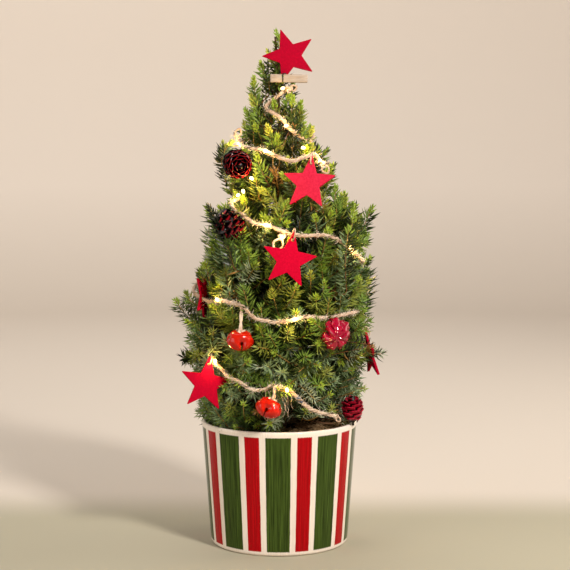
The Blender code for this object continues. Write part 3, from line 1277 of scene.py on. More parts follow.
@dataclass
class NeedleSprays:
    """All needles: a three-sided sliver each, set round the shoots in a spiral."""

    seed: int = 7
    dense_table: Table = ((0.16, 2.3), (0.22, 2.25), (0.30, 2.1), (0.42, 1.9))
    inner_per_mm: float = 1.2
    # Depths under the skin past which needles turn DEEP and then SHADE: painted shade inside the crown.
    deep_shade_table: Table = ((0.17, 0.009), (0.20, 0.0065), (0.26, 0.008))
    shade_table: Table = ((0.17, 0.016), (0.20, 0.0115), (0.26, 0.013))
    wood_per_mm: float = 0.55
    length_table: Table = ((0.16, 0.0128), (0.22, 0.0130), (0.30, 0.0142), (0.40, 0.0130), (0.48, 0.0110))
    spread_table: Table = ((0.16, 74.0), (0.30, 66.0), (0.42, 63.0))
    tip_spread_table: Table = ((0.16, 62.0), (0.30, 50.0), (0.42, 48.0))
    closed_table: Table = ((0.16, 0.55), (0.36, 0.32))
    limit: int = 32_000
    pieces: tuple[tuple[str, tuple[str, ...]], ...] = (
        ("needles_skirt", ("skirt",)),
        ("needles_lower", ("lower",)),
        ("needles_middle", ("middle",)),
        ("needles_shoulder", ("shoulder",)),
        ("needles_top", ("upper", "collar", "spire")),
    )
    draw: np.random.Generator = field(init=False)
    space: CrownSpace = field(init=False)
    growth: Growth = field(init=False)

    def build(self, growth: Growth, space: CrownSpace) -> None:
        """Make the needle meshes, one for each whorl or group of whorls.

        Args:
            growth: The grown strands.
            space: The crown, for how deep a needle stands.
        """
        self.draw = np.random.default_rng(self.seed)
        self.space = space
        self.growth = growth
        finishes = NeedleWax().materials()
        for name, whorls in self.pieces:
            strands = [s for s in growth.strands if s.whorl in whorls]
            parts = [self.needles_on(strand) for strand in strands]
            columns = [np.concatenate([part[i] for part in parts]) for i in range(6)]
            count = len(columns[0])
            if count > self.limit:
                kept = np.sort(self.draw.choice(count, self.limit, replace=False))
                columns = [column[kept] for column in columns]
            LOG.info("%s: %d needles wanted, %d kept", name, count, min(count, self.limit))
            piece = self.make_mesh(name, columns, finishes)
            replaced = [n for n in NODES if n.startswith("foliage_") and n.split("_")[1] in whorls]
            publish(piece, "needles", *replaced)

    def needles_on(self, strand: Strand) -> tuple[np.ndarray, ...]:
        """Set needles along one strand.

        Args:
            strand: The strand.

        Returns:
            Foot, direction, length, thickness, bend direction and tone of each needle.
        """
        points = strand.points
        along = run_length(points)
        total = along[-1]
        shoot = total - strand.green_from
        height = float(points[-1][2])
        dense = step_between(height, self.dense_table) if strand.outer else self.inner_per_mm
        count = int(shoot / MM * dense)
        place = strand.green_from + shoot * (np.arange(count) + self.draw.random(count)) / max(count, 1)
        wood = int(max(strand.green_from, 0.0) / MM * self.wood_per_mm)
        place = np.concatenate((place, self.draw.uniform(0.0, max(strand.green_from, 1e-6), wood)))
        place.sort()
        foot = np.stack([np.interp(place, along, points[:, i]) for i in range(3)], axis=1)
        index = np.clip(np.searchsorted(along, place, side="right") - 1, 0, len(points) - 2)
        way = unit(np.diff(points, axis=0))[index]
        aside = unit(np.cross(way, np.array((0.31, -0.22, 0.93))))
        other = np.cross(way, aside)
        turn = (
            GOLDEN_ANGLE * np.arange(len(place))
            + self.draw.normal(0.0, 0.25, len(place))
            + self.draw.uniform(0, 6.28)
        )
        radial = aside * np.cos(turn)[:, None] + other * np.sin(turn)[:, None]
        flat = 1.0 - np.abs(way[:, 2:3])
        radial = unit(radial + np.array((0.0, 0.0, 0.35)) * flat)
        left = total - place
        fresh = left < strand.tip_length
        closed = step_between(height, self.closed_table)
        opening = np.radians(
            step_between(height, self.spread_table) + self.draw.normal(0.0, 9.0, len(place))
        )
        opening *= np.clip(closed + left / 0.010, closed, 1.0)
        tip_opening = math.radians(step_between(height, self.tip_spread_table))
        opening = np.where(fresh, np.minimum(opening, tip_opening), opening)
        direction = unit(way * np.cos(opening)[:, None] + radial * np.sin(opening)[:, None])
        length = step_between(height, self.length_table) * self.draw.uniform(0.78, 1.18, len(place))
        length = np.where(fresh, length * 0.66, length)
        length *= np.clip(0.62 + left / 0.012 * 0.38, 0.62, 1.0)
        thick = np.full(len(place), strand.thickness) * self.draw.uniform(0.88, 1.12, len(place))
        tone = np.where(fresh, strand.tip_tone.value, strand.tone.value)
        # Needles on the bare wood below a shoot mostly turn SHADE, painted shade under the outer shoots; a
        # few turn STRAW, browned.
        old_wood_shaded = place < strand.green_from
        tone = np.where(old_wood_shaded & (self.draw.random(len(place)) < 0.6), Tone.SHADE.value, tone)
        tone = np.where(old_wood_shaded & (self.draw.random(len(place)) < 0.08), Tone.STRAW.value, tone)
        ends = foot + direction * length[:, None]
        # Needles that end deep under the skin turn DEEP and then SHADE: painted shade inside the crown.
        depth = np.array([self.space.depth(end) for end in ends]) + self.draw.normal(0.0, 0.002, len(place))
        deep, shade = step_between(height, self.deep_shade_table), step_between(height, self.shade_table)
        tone = np.where((depth > deep) & (tone != Tone.STRAW.value), Tone.DEEP.value, tone)
        tone = np.where((depth > shade) & (tone != Tone.STRAW.value), Tone.SHADE.value, tone)
        bare = np.array([self.growth.in_gap(end) for end in ends])
        columns = (foot, direction, length, thick, way, tone)
        return tuple(column[~bare] for column in columns)

    def make_mesh(
        self, name: str, columns: list[np.ndarray], finishes: list[bpy.types.Material]
    ) -> bpy.types.Object:
        """Turn needle values into one joined mesh of closed three-sided slivers.

        Args:
            name: Name of the piece.
            columns: Foot, direction, length, thickness, bend direction and tone.
            finishes: Needle materials in the order of Tone.

        Returns:
            The mesh object.
        """
        foot, direction, length, thick, way, tone = columns
        side = unit(np.cross(direction, way) + 1e-6)
        over = np.cross(side, direction)
        bend = (way - direction * np.einsum("ij,ij->i", way, direction)[:, None]) * length[:, None]
        middle = foot + direction * (length * 0.42)[:, None] - bend * 0.05
        tip = foot + direction * length[:, None] + bend * 0.06
        half = (thick / 1.6)[:, None]
        slots = np.repeat(tone.astype(np.int32), 6)
        return slivers(name, (foot, middle, tip), (side, over), half, 0.4, finishes, slots)


# ---------------------------------------------------------------------------------------------
# Twigs
# ---------------------------------------------------------------------------------------------


def tube_mesh(points: np.ndarray, radii: np.ndarray, sides: int) -> Pair:
    """Make a closed tube along a line, with a point at each end.

    Args:
        points: Middle line, n by 3.
        radii: Radius at each of its points.
        sides: Sides of the tube.

    Returns:
        Vertices, and triangles that face outward.
    """
    way = unit(np.gradient(points, axis=0))
    frames = np.empty((len(points), 2, 3))
    start = np.array((0.0, 0.0, 1.0)) if abs(way[0][2]) < 0.9 else np.array((1.0, 0.0, 0.0))
    aside = unit(np.cross(way[0], start))
    for i, forward in enumerate(way):
        aside = unit(aside - forward * (aside @ forward))
        frames[i] = aside, np.cross(forward, aside)
    angle = 2 * math.pi * np.arange(sides) / sides
    spokes = frames[:, 0, None, :] * np.cos(angle)[None, :, None]
    spokes = spokes + frames[:, 1, None, :] * np.sin(angle)[None, :, None]
    rings = points[:, None, :] + spokes * radii[:, None, None]
    ends = np.array((points[0] - way[0] * radii[0] * 0.6, points[-1] + way[-1] * radii[-1] * 0.8))
    vertices = np.concatenate((rings.reshape(-1, 3), ends))
    triangles = []
    j = np.arange(sides)
    k = (j + 1) % sides
    for i in range(len(points) - 1):
        low, high = i * sides, (i + 1) * sides
        triangles.append(np.stack((low + j, low + k, high + k), axis=1))
        triangles.append(np.stack((low + j, high + k, high + j), axis=1))
    first, last = len(vertices) - 2, len(vertices) - 1
    triangles.append(np.stack((np.full(sides, first), k, j), axis=1))
    top = (len(points) - 1) * sides
    triangles.append(np.stack((np.full(sides, last), top + j, top + k), axis=1))
    return vertices, np.concatenate(triangles)


def cord(line: Sequence, radius: float, sides: int = 6) -> Pair:
    """Make a closed tube of one thickness along a line."""
    return tube_mesh(np.asarray(line), np.full(len(line), radius), sides)


@dataclass(frozen=True)
class TwigBark:
    """Bark of spruce twigs, grown in ridges: tan on this year's wood, orange brown, then grey brown."""

    young: str = "a8803f"
    grown: str = "85532a"
    old: str = "5d4027"

    def materials(self) -> list[bpy.types.Material]:
        """Return the young, the grown and the old bark."""
        made = []
        for name, colour in (("young", self.young), ("grown", self.grown), ("old", self.old)):
            material, _, shader = new_material(f"twig_bark_{name}")
            shader.inputs["Base Color"].default_value = linear(colour)
            shader.inputs["Roughness"].default_value = 0.6
            made.append(material)
        return made


@dataclass
class TwigWork:
    """The wood between the boughs and the needles, one joined mesh of tubes."""

    sides: int = 4
    thick_sides: int = 6
    thick_from: float = 0.0012
    old_from: float = 0.0011
    young_length: float = 0.022

    def build(self, growth: Growth) -> None:
        """Make the twigs.

        Args:
            growth: The grown strands.
        """
        tubes: list[Pair] = []
        slots: list[np.ndarray] = []
        for strand in growth.strands:
            sides = self.thick_sides if strand.radii[0] > self.thick_from else self.sides
            points, triangles = tube_mesh(strand.points, strand.radii, sides)
            middle = points[triangles].mean(1)
            along = run_length(strand.points)
            near = np.linalg.norm(middle[:, None, :] - strand.points[None], axis=2).argmin(1)
            left = along[-1] - along[near]
            thick = strand.radii[near] > self.old_from
            slots.append(np.where(thick, 2, np.where(left < self.young_length, 0, 1)))
            tubes.append((points, triangles))
        publish(mesh_piece("twigs", *joined(tubes), TwigBark().materials(), np.concatenate(slots)), "bark")


# ---------------------------------------------------------------------------------------------
# Pot and potting mix
# ---------------------------------------------------------------------------------------------


@dataclass(frozen=True)
class StripedGlaze:
    """Glazed earthenware, brushed by hand: cream with green and red upright bands under a clear glaze.

    The bands keep the fine upright streaks of the brush, and the glaze lies glossy and a little uneven.
    """

    cream: str = "efe3d8"
    cream_shade: str = "d9cab8"
    green_dark: str = "1e2a08"
    green_light: str = "475c22"
    red_dark: str = "8c0108"
    red_light: str = "b6030f"
    pair_deg: float = 40.0
    turn_deg: float = 0.6
    green_half_deg: float = 9.5
    red_from_deg: float = 14.2
    band_low: float = 0.0052
    band_high: float = 0.1262

    def material(self) -> bpy.types.Material:
        """Return the glaze as a material."""
        material, tree, shader = new_material("striped_earthenware_glaze")
        place = object_place(tree)
        axes = add_node(tree, "ShaderNodeSeparateXYZ", {0: place})
        front = maths(tree, "MULTIPLY", axes.outputs["Y"], -1.0)
        turn = maths(tree, "ARCTAN2", axes.outputs["X"], front)
        degrees = maths(tree, "DEGREES", turn)
        # Round the pot in millimetres, for streaks of about 1 mm that run 60 mm up.
        streak_place = add_node(tree, "ShaderNodeCombineXYZ", {"X": degrees, "Z": axes.outputs["Z"]})
        streak_scale = stretch(tree, streak_place.outputs[0], (1.1, 1.0, 16.0))
        streaks = speckle(tree, streak_scale, 1.0, 4.0, 0.65)
        wander_scale = stretch(tree, streak_place.outputs[0], (0.25, 1.0, 60.0))
        wander = speckle(tree, wander_scale, 1.0, 2.0)
        wobble = remap(tree, wander, (0.3, 0.7), (-0.12, 0.12))
        # The painter set the bands in front a little closer than those at the sides.
        sine = maths(tree, "SINE", turn)
        closer = maths(tree, "MULTIPLY_ADD", sine, 1.9, degrees)
        shifted = maths(tree, "ADD", closer, self.turn_deg)
        folded = maths(tree, "PINGPONG", shifted, self.pair_deg / 2)
        edge = maths(tree, "ADD", folded, wobble)
        green = remap(tree, edge, (self.green_half_deg - 0.2, self.green_half_deg + 0.2), (1.0, 0.0))
        red = remap(tree, edge, (self.red_from_deg - 0.2, self.red_from_deg + 0.2))
        end_shift = maths(tree, "MULTIPLY_ADD", streaks, 0.0016, axes.outputs["Z"])
        low = remap(tree, end_shift, (self.band_low, self.band_low + 0.0009))
        high = remap(tree, end_shift, (self.band_high, self.band_high + 0.0009), (1.0, 0.0))
        ends = maths(tree, "MULTIPLY", low, high)
        reach_x = maths(tree, "MULTIPLY", axes.outputs["X"], axes.outputs["X"])
        reach = maths(tree, "MULTIPLY_ADD", axes.outputs["Y"], axes.outputs["Y"], reach_x)
        # The bands are on the outside only: past the wall's middle, which leans out with the height.
        wall = remap(tree, axes.outputs["Z"], (0.0, 0.1315), (0.0712**2, 0.0808**2))
        outside = maths(tree, "GREATER_THAN", reach, wall)
        shown = maths(tree, "MULTIPLY", ends, outside)
        clouds = speckle(tree, place, 28.0, 3.0)
        load = remap(tree, streaks, (0.36, 0.64))
        cream_load = maths(tree, "MULTIPLY", clouds, load)
        cream = mix(tree, cream_load, self.cream, self.cream_shade)
        green_paint = mix(tree, load, self.green_dark, self.green_light)
        red_paint = mix(tree, load, self.red_dark, self.red_light)
        green_shown = maths(tree, "MULTIPLY", green, shown)
        red_shown = maths(tree, "MULTIPLY", red, shown)
        with_green = mix(tree, green_shown, cream, green_paint)
        with_red = mix(tree, red_shown, with_green, red_paint)
        uneven = speckle(tree, place, 60.0, 2.0)
        paint_lift = maths(tree, "ADD", green_shown, red_shown)
        lift = maths(tree, "MULTIPLY_ADD", paint_lift, 0.25, uneven)
        add_bump(tree, shader, lift, 0.25, 0.0008)
        gloss = remap(tree, clouds, target=(0.10, 0.16))
        feed(tree, shader, {"Base Color": with_red, "Roughness": gloss, "Specular IOR Level": 0.13})
        return material


@dataclass
class CeramicPot:
    """The tapered pot with its rolled rim and its small rounded foot."""

    height: float = 0.1315
    foot_radius: float = 0.0735
    rim_radius: float = 0.0830
    wall: float = 0.0045
    floor: float = 0.0070
    foot_round: float = 0.0035
    rim_round: float = 0.0021
    band_top: float = 0.1262
    steps: int = 144

    def outer(self, height: float) -> float:
        """Radius of the outside at a height."""
        return self.foot_radius + (self.rim_radius - self.foot_radius) / self.height * height

    def inner(self, height: float) -> float:
        """Radius of the inside at a height."""
        return self.outer(height) - self.wall

    def build(self) -> None:
        """Turn and glaze the pot, which replaces its node."""
        profile = [(0.0, 0.0), (self.foot_radius - 0.012, 0.0)]
        profile += arc(
            (self.foot_radius - self.foot_round, self.foot_round), self.foot_round, -90.0, -4.0, 6
        )
        profile += [(self.outer(z), z) for z in (0.012, 0.030, 0.055, 0.080, 0.105, 0.120)]
        profile += [(self.outer(self.band_top) + 0.0001, self.band_top)]
        edge, top = self.rim_round, self.height - self.rim_round
        profile += arc((self.outer(self.height) - edge, top), edge, 0.0, 90.0, 6)
        profile += arc((self.inner(self.height) + edge, top), edge, 90.0, 180.0, 6)
        profile += [(self.inner(z), z) for z in (0.120, 0.080, 0.040, self.floor + 0.006)]
        profile += arc((self.inner(self.floor) - 0.005, self.floor + 0.005), 0.005, 0.0, -90.0, 4)
        profile += [(0.0, self.floor)]
        pot = turned("glazed_pot", profile, self.steps)
        pot.data.materials.append(StripedGlaze().material())
        smooth(pot, 50.0)
        publish(pot, "glaze", "pot")


@dataclass(frozen=True)
class PottingSoil:
    """Damp peat and bark potting mix: dark, crumbly and matt, with brown fibres in it."""

    dark: str = "35261a"
    brown: str = "75573a"
    fibre: str = "d8b483"

    def material(self) -> bpy.types.Material:
        """Return the mix as a material."""
        material, tree, shader = new_material("peat_potting_mix")
        place = object_place(tree)
        # Crumbs of about 4 mm and grit of about 1 mm.
        crumbs = speckle(tree, place, 250.0, 6.0, 0.7)
        cells = add_node(tree, "ShaderNodeTexVoronoi", {"Vector": place, "Scale": 700.0})
        tint = remap(tree, crumbs, (0.35, 0.7))
        colour = mix(tree, tint, self.dark, self.brown)
        height = maths(tree, "ADD", crumbs, cells.outputs["Distance"])
        add_bump(tree, shader, height, 0.9, 0.002)
        feed(tree, shader, {"Base Color": colour, "Roughness": 0.95})
        return material

    def fibre_material(self) -> bpy.types.Material:
        """Return dry roots and moss fibre: pale straw brown, matt."""
        material, tree, shader = new_material("dry_root_fibre")
        place = object_place(tree)
        patches = speckle(tree, place, 90.0, 2.0)
        colour = mix(tree, patches, self.brown, self.fibre)
        feed(tree, shader, {"Base Color": colour, "Roughness": 0.85})
        return material


@dataclass
class PottingMix:
    """The root ball in the pot: an uneven top with loose crumbs, dry roots and moss."""

    level: float = 0.119
    floor: float = 0.0073
    foot_reach: float = 0.0690
    top_reach: float = 0.0770
    crumbs: int = 620
    fibres: int = 950
    fibre_step: float = 0.0026
    fibre_reach: float = 0.0755
    seed: int = 19
    draw: np.random.Generator = field(init=False)

    def build(self) -> None:
        """Make the mix, its crumbs and its fibres."""
        self.draw = np.random.default_rng(self.seed)
        profile = [(0.0, self.floor), (self.foot_reach, self.floor), (self.top_reach, self.level - 0.002)]
        profile += [(self.top_reach * share, self.level) for share in np.linspace(0.985, 0.06, 26)]
        profile += [(0.0, self.level)]
        soil = turned("potting_mix", profile, 112)
        for vertex in soil.data.vertices:
            if vertex.co.z > self.level - 0.001:
                reach = math.hypot(vertex.co.x, vertex.co.y)
                lump = noise.fractal(vertex.co * 130.0, 1.0, 2.0, 4)
                rise = 0.0016 * lump + 0.0022 * math.exp(-((reach / 0.018) ** 2))
                vertex.co.z += rise - 0.0012 * (reach / self.top_reach) ** 4
        finish = PottingSoil()
        soil.data.materials.append(finish.material())
        smooth(soil, 80.0)
        publish(soil, "potting_mix", "root_ball")
        self.scatter_crumbs(finish)
        self.scatter_fibres(finish)

    def scatter_crumbs(self, finish: PottingSoil) -> None:
        """Lay loose crumbs of bark and peat on the mix.

        Args:
            finish: Finish of the mix.
        """
        bpy.ops.object.select_all(action="DESELECT")
        bpy.ops.mesh.primitive_ico_sphere_add(subdivisions=1, radius=1.0)
        crumb = new_piece("crumb")
        for vertex in crumb.data.vertices:
            vertex.co *= 1.0 + 0.28 * noise.noise(vertex.co * 1.7)
        places = []
        for _ in range(self.crumbs):
            reach = self.top_reach * 0.96 * math.sqrt(self.draw.uniform(0.02, 1.0))
            turn = self.draw.uniform(0.0, 2 * math.pi)
            size = self.draw.uniform(0.0007, 0.0024)
            place = Vector((reach * math.cos(turn), reach * math.sin(turn), self.level + size * 0.3))
            spin = Matrix.Rotation(self.draw.uniform(0.0, 6.28), 4, Vector(self.draw.normal(size=3)))
            shape = Matrix.Diagonal(
                (size, size * self.draw.uniform(0.5, 1.0), size * self.draw.uniform(0.5, 0.9), 1.0)
            )
            places.append(Matrix.Translation(place) @ spin @ shape)
        publish(copies("potting_crumbs", crumb, places, [finish.material()]), "potting_mix")

    def scatter_fibres(self, finish: PottingSoil) -> None:
        """Lay dry roots and moss fibres on the mix.

        Args:
            finish: Finish of the mix.
        """
        tubes: list[Pair] = []
        for _ in range(self.fibres):
            reach = self.top_reach * 0.9 * math.sqrt(self.draw.uniform(0.1, 1.0))
            turn = self.draw.uniform(-math.pi, math.pi)
            heap = 0.006 * math.exp(-(((turn + 0.2) / 0.9) ** 2)) if reach < 0.06 else 0.0
            rise = self.draw.uniform(0.0015, 0.0020 + heap)
            start = np.array((reach * math.cos(turn), reach * math.sin(turn), self.level + rise))
            heading = self.draw.uniform(0.0, 2 * math.pi)
            line = [start]
            for _ in range(6):
                heading += self.draw.normal(0.0, 0.5)
                lift = self.draw.normal(0.0002, 0.0007)
                level = np.array((math.cos(heading), math.sin(heading), 0.0)) * self.fibre_step
                line.append(line[-1] + level + (0.0, 0.0, lift))
            line = np.array(line)
            reach = np.hypot(line[:, 0], line[:, 1])
            line[:, :2] *= np.minimum(1.0, self.fibre_reach / reach)[:, None]
            tubes.append(cord(line, self.draw.uniform(0.00022, 0.00055), 3))
        publish(mesh_piece("dry_roots", *joined(tubes), [finish.fibre_material()]), "potting_mix")


# ---------------------------------------------------------------------------------------------
# Bark
# ---------------------------------------------------------------------------------------------


@dataclass(frozen=True)
class SpruceBark:
    """Spruce bark, grown in small scaly plates: grey brown with reddish cracks, rough and matt."""

    plate: str = "6b5138"
    crack: str = "2c1b10"
    pale: str = "8d7150"

    def material(self) -> bpy.types.Material:
        """Return the bark as a material."""
        material, tree, shader = new_material("scaly_spruce_bark")
        place = object_place(tree)
        # Plates of about 2 by 4 mm.
        longer = stretch(tree, place, (500.0, 500.0, 240.0))
        plates = add_node(
            tree, "ShaderNodeTexVoronoi", {"Vector": longer, "Scale": 1.0}, feature="DISTANCE_TO_EDGE"
        )
        crack = remap(tree, plates.outputs["Distance"], (0.0, 0.18))
        fleck = speckle(tree, place, 350.0, 4.0)
        wood = mix(tree, fleck, self.plate, self.pale)
        colour = mix(tree, crack, self.crack, wood)
        add_bump(tree, shader, crack, 0.6, 0.0006)
        feed(tree, shader, {"Base Color": colour, "Roughness": 0.9})
        return material


@dataclass
class BarkCover:
    """Trunk and boughs with the bark's relief, made on merged copies of their nodes."""

    relief: float = 0.00042
    plate: float = 0.0022

    def build(self) -> None:
        """Cover the trunk and all boughs."""
        finish = SpruceBark().material()
        self.cover("trunk_bark", ["trunk"], 4, finish)
        boughs = sorted(name for name in NODES if name.startswith("bough_"))
        self.cover("bough_bark", boughs, 3, finish)

    def cover(self, name: str, nodes: list[str], cuts: int, finish: bpy.types.Material) -> None:
        """Copy nodes into one mesh, subdivide it and raise the bark's plates on it.

        Args:
            name: Name of the new piece.
            nodes: Nodes that it replaces.
            cuts: Cuts of each edge.
            finish: Its material.
        """
        piece = mesh_piece(name, *joined([cad_mesh(node) for node in nodes]), [finish])
        with editing(piece):
            bpy.ops.mesh.subdivide(number_cuts=cuts, smoothness=0.0)
        mesh = piece.data
        normals = [vertex.normal.copy() for vertex in mesh.vertices]
        for vertex, normal in zip(mesh.vertices, normals):
            stretched = Vector((vertex.co.x, vertex.co.y, vertex.co.z * 0.5)) / self.plate
            scale = noise.cell(stretched) * 0.3 + noise.fractal(stretched * 0.8, 1.0, 2.0, 3)
            vertex.co += normal * scale * self.relief
        mesh.update()
        smooth(piece, 70.0)
        publish(piece, "bark", *nodes)


# ---------------------------------------------------------------------------------------------
# Felt stars
# ---------------------------------------------------------------------------------------------


@dataclass(frozen=True)
class WoolFelt:
    """Pressed wool felt, cut with a die: deep red, matt and even, with a faint mottle and short fibres."""

    name: str
    colour: str
    shade: str

    def material(self) -> bpy.types.Material:
        """Return the felt as a material."""
        material, tree, shader = new_material(self.name)
        place = object_place(tree)
        mottle = speckle(tree, place, 420.0, 5.0, 0.7)
        share = remap(tree, mottle, (0.35, 0.65))
        colour = mix(tree, share, self.colour, self.shade)
        # Fibres of about 0.4 mm, drawn twice as coarse as they are so that they show.
        fibres = speckle(tree, place, 1300.0, 4.0, 0.75)
        both = maths(tree, "MULTIPLY_ADD", mottle, 0.8, fibres)
        add_bump(tree, shader, both, 0.35, 0.0005)
        feed(
            tree,
            shader,
            {
                "Base Color": colour,
                "Roughness": 0.95,
                "Specular IOR Level": 0.08,
                "Sheen Weight": 0.06,
                "Sheen Roughness": 0.5,
                "Sheen Tint": linear("ff3a60"),
            },
        )
        return material


# One red felt given a colour for each star: ruby and cherry darkened as painted shade, carmine brightened
# as painted light, rose paled as a painted sheen.
RUBY_SHADED_FELT = WoolFelt("ruby_wool_felt", "ae0228", "9c0222")
CARMINE_LIT_FELT = WoolFelt("carmine_wool_felt", "d20430", "bf0229")
CHERRY_SHADED_FELT = WoolFelt("cherry_wool_felt", "be0229", "ac0223")
ROSE_SHEEN_FELT = WoolFelt("rose_wool_felt", "da2c4a", "c71f3d")


@dataclass(frozen=True)
class StarPose:
    """Where one star hangs: its middle, its turns in degrees and its felt."""

    name: str
    middle_mm: Place
    roll: float
    turn: float
    tilt: float
    felt: WoolFelt
    reach_mm: float = 29.5
    twist_mm: float = 0.0
    punched: bool = True

    def matrix(self) -> Matrix:
        """Return the pose of a star that is modelled upright and faces -Y."""
        turn = Matrix.Rotation(math.radians(self.turn), 4, "Z")
        tilt = Matrix.Rotation(math.radians(self.tilt), 4, "X")
        roll = Matrix.Rotation(math.radians(self.roll), 4, "Y")
        return Matrix.Translation(Vector(self.middle_mm) * MM) @ turn @ tilt @ roll


@dataclass
class FeltStars:
    """Five-pointed stars of thick felt, all but the top star with a punched hole under the top point."""

    waist_share: float = 0.425
    thick: float = 0.0026
    hole_radius: float = 0.0017
    hole_drop: float = 0.0092
    tip_round: float = 0.0016
    poses: tuple[StarPose, ...] = (
        StarPose("star_top", (11.0, -15.0, 517.0), -19.2, 3.5, -3.9, RUBY_SHADED_FELT, punched=False),
        StarPose("star_upper", (30.0, -72.0, 385.0), 2.2, -18.7, -16.0, ROSE_SHEEN_FELT),
        StarPose("star_middle", (10.2, -101.0, 308.8), 11.2, 10.8, -4.8, CARMINE_LIT_FELT),
        StarPose("star_low_left", (-74.5, -71.0, 180.0), 11.8, 22.2, -9.9, CHERRY_SHADED_FELT),
        StarPose("star_left_side", (-79.5, -9.0, 264.4), 28.0, 75.0, 0.0, RUBY_SHADED_FELT, 29.5, 1.5),
        StarPose("star_right_side", (96.0, -20.0, 204.5), 0.0, -80.0, 11.0, RUBY_SHADED_FELT, 27.0, 2.0),
        StarPose("star_back_upper", (26.0, 71.5, 362.0), 8.0, 160.0, -20.0, CARMINE_LIT_FELT),
        StarPose("star_back_middle", (9.0, 93.4, 264.0), 12.0, 175.0, -2.0, CHERRY_SHADED_FELT),
        StarPose("star_back_left", (-60.4, 72.0, 256.0), -14.0, 220.0, -6.0, RUBY_SHADED_FELT),
    )

    def build(self) -> None:
        """Cut and hang the stars."""
        felts = {felt.name: felt.material() for felt in (RUBY_SHADED_FELT, CHERRY_SHADED_FELT, CARMINE_LIT_FELT, ROSE_SHEEN_FELT)}
        for pose in self.poses:
            star = self.cut(pose.name, pose.reach_mm * MM, pose.punched)
            for vertex in star.data.vertices:
                share = vertex.co.x * vertex.co.z / (pose.reach_mm * MM) ** 2
                vertex.co.y -= pose.twist_mm * MM * share / 0.45
            star.data.transform(pose.matrix())
            star.data.materials.clear()
            star.data.materials.append(felts[pose.felt.name])
            publish(star, "felt")

    def cut(self, name: str, reach: float, punched: bool) -> bpy.types.Object:
        """Cut one star at the origin, upright and facing -Y.

        Args:
            name: Name of the star.
            reach: Distance from its middle to its points.
            punched: Whether it has a hole for a thread.

        Returns:
            The star.
        """
        bpy.ops.object.select_all(action="DESELECT")
        bpy.ops.mesh.primitive_circle_add(
            vertices=10, radius=reach, fill_type="NGON", rotation=(0.0, 0.0, 0.0)
        )
        star = new_piece(name)
        top = math.pi / 2
        with editing(star):
            step = 2 * math.pi / 10
            select_points(star, lambda place: round((math.atan2(place.y, place.x) - top) / step) % 2 == 1)
            bpy.ops.transform.resize(
                value=(self.waist_share, self.waist_share, 1.0), center_override=(0.0, 0.0, 0.0)
            )
            select_points(star, lambda place: place.length > reach * 0.8)
            bpy.ops.mesh.bevel(offset=self.tip_round, segments=4, affect="VERTICES")
            bpy.ops.mesh.select_all(action="SELECT")
            bpy.ops.mesh.extrude_region_move(TRANSFORM_OT_translate={"value": (0.0, 0.0, self.thick)})
            bpy.ops.mesh.select_all(action="SELECT")
            bpy.ops.transform.translate(value=(0.0, 0.0, -self.thick / 2))
            bpy.ops.mesh.normals_make_consistent(inside=False)
        if punched:
            bpy.ops.object.select_all(action="DESELECT")
            hole_place = (0.0, reach - self.hole_drop, 0.0)
            bpy.ops.mesh.primitive_cylinder_add(
                vertices=20, radius=self.hole_radius, depth=self.thick * 3, location=hole_place
            )
            punch = new_piece("punch")
            use_modifier(star, "BOOLEAN", object=punch, operation="DIFFERENCE", solver="EXACT")
            bpy.data.objects.remove(punch)
        use_modifier(
            star, "BEVEL", width=0.0004, segments=2, limit_method="ANGLE", angle_limit=math.radians(50.0)
        )
        star.data.transform(Matrix.Rotation(math.radians(90.0), 4, "X"))
        smooth(star, 40.0)
        return star


# ---------------------------------------------------------------------------------------------
# Cones
# ---------------------------------------------------------------------------------------------


@dataclass(frozen=True)
class DyedCone:
    """Pine cone, dipped in red dye and varnished: glossy dyed rims on woody scales, nearly black inside,
    partly as painted shade.
    """

    name: str
    rim: str
    rim_shade: str
    heart: str
    gloss: float = 0.28

    def materials(self) -> list[bpy.types.Material]:
        """Return the near-black wood between the scales, partly painted shade, and the dyed rims."""
        return [
            self.wood(f"{self.name}_heart", self.heart, self.heart),
            self.wood(f"{self.name}_rim", self.rim, self.rim_shade),
        ]

    def wood(self, name: str, light: str, dark: str) -> bpy.types.Material:
        """Return one varnished, dyed wood.

        Args:
            name: Name of the material.
            light: Its lighter colour.
            dark: Its darker colour.

        Returns:
            The material.
        """
        material, tree, shader = new_material(name)
        place = object_place(tree)
        grain = speckle(tree, place, 420.0, 4.0, 0.6)
        share = remap(tree, grain, (0.36, 0.66))
        colour = mix(tree, share, light, dark)
        add_bump(tree, shader, grain, 0.4, 0.0006)
        feed(tree, shader, {"Base Color": colour, "Roughness": self.gloss, "Specular IOR Level": 0.22})
        return material


# Rim, rim grain and inner colours; the near-black inner colour is partly painted shade between the scales.
MAROON_DYE = DyedCone("maroon_cone", "8e0a14", "4a040a", "080102", 0.26)
CRIMSON_DYE = DyedCone("crimson_cone", "b01430", "7c0a1e", "160204", 0.34)


@dataclass(frozen=True)
class ConePose:
    """One cone: its middle, the way that its tip points, its size and how its scales stand.

    The scales rise from open_deg at the base to closed_deg at the tip; dyed rims cover rim_share of each,
    and the rest takes the near-black inner colour, partly painted shade.
    The width and thickness of the scales are shares of the cone's radius, and so are the curl of their
    rims and the wrap of their sides; a closed cone's scales wrap round it.
    """

    name: str
    middle_mm: Place
    tip_way: Place
    length_mm: float
    radius_mm: float
    open_deg: float
    closed_deg: float
    rim_share: float
    scales: int
    scale_width: float = 1.22
    scale_thick: float = 0.060
    finish: DyedCone = MAROON_DYE
    wrap: float = -0.12
    curl: float = 0.26


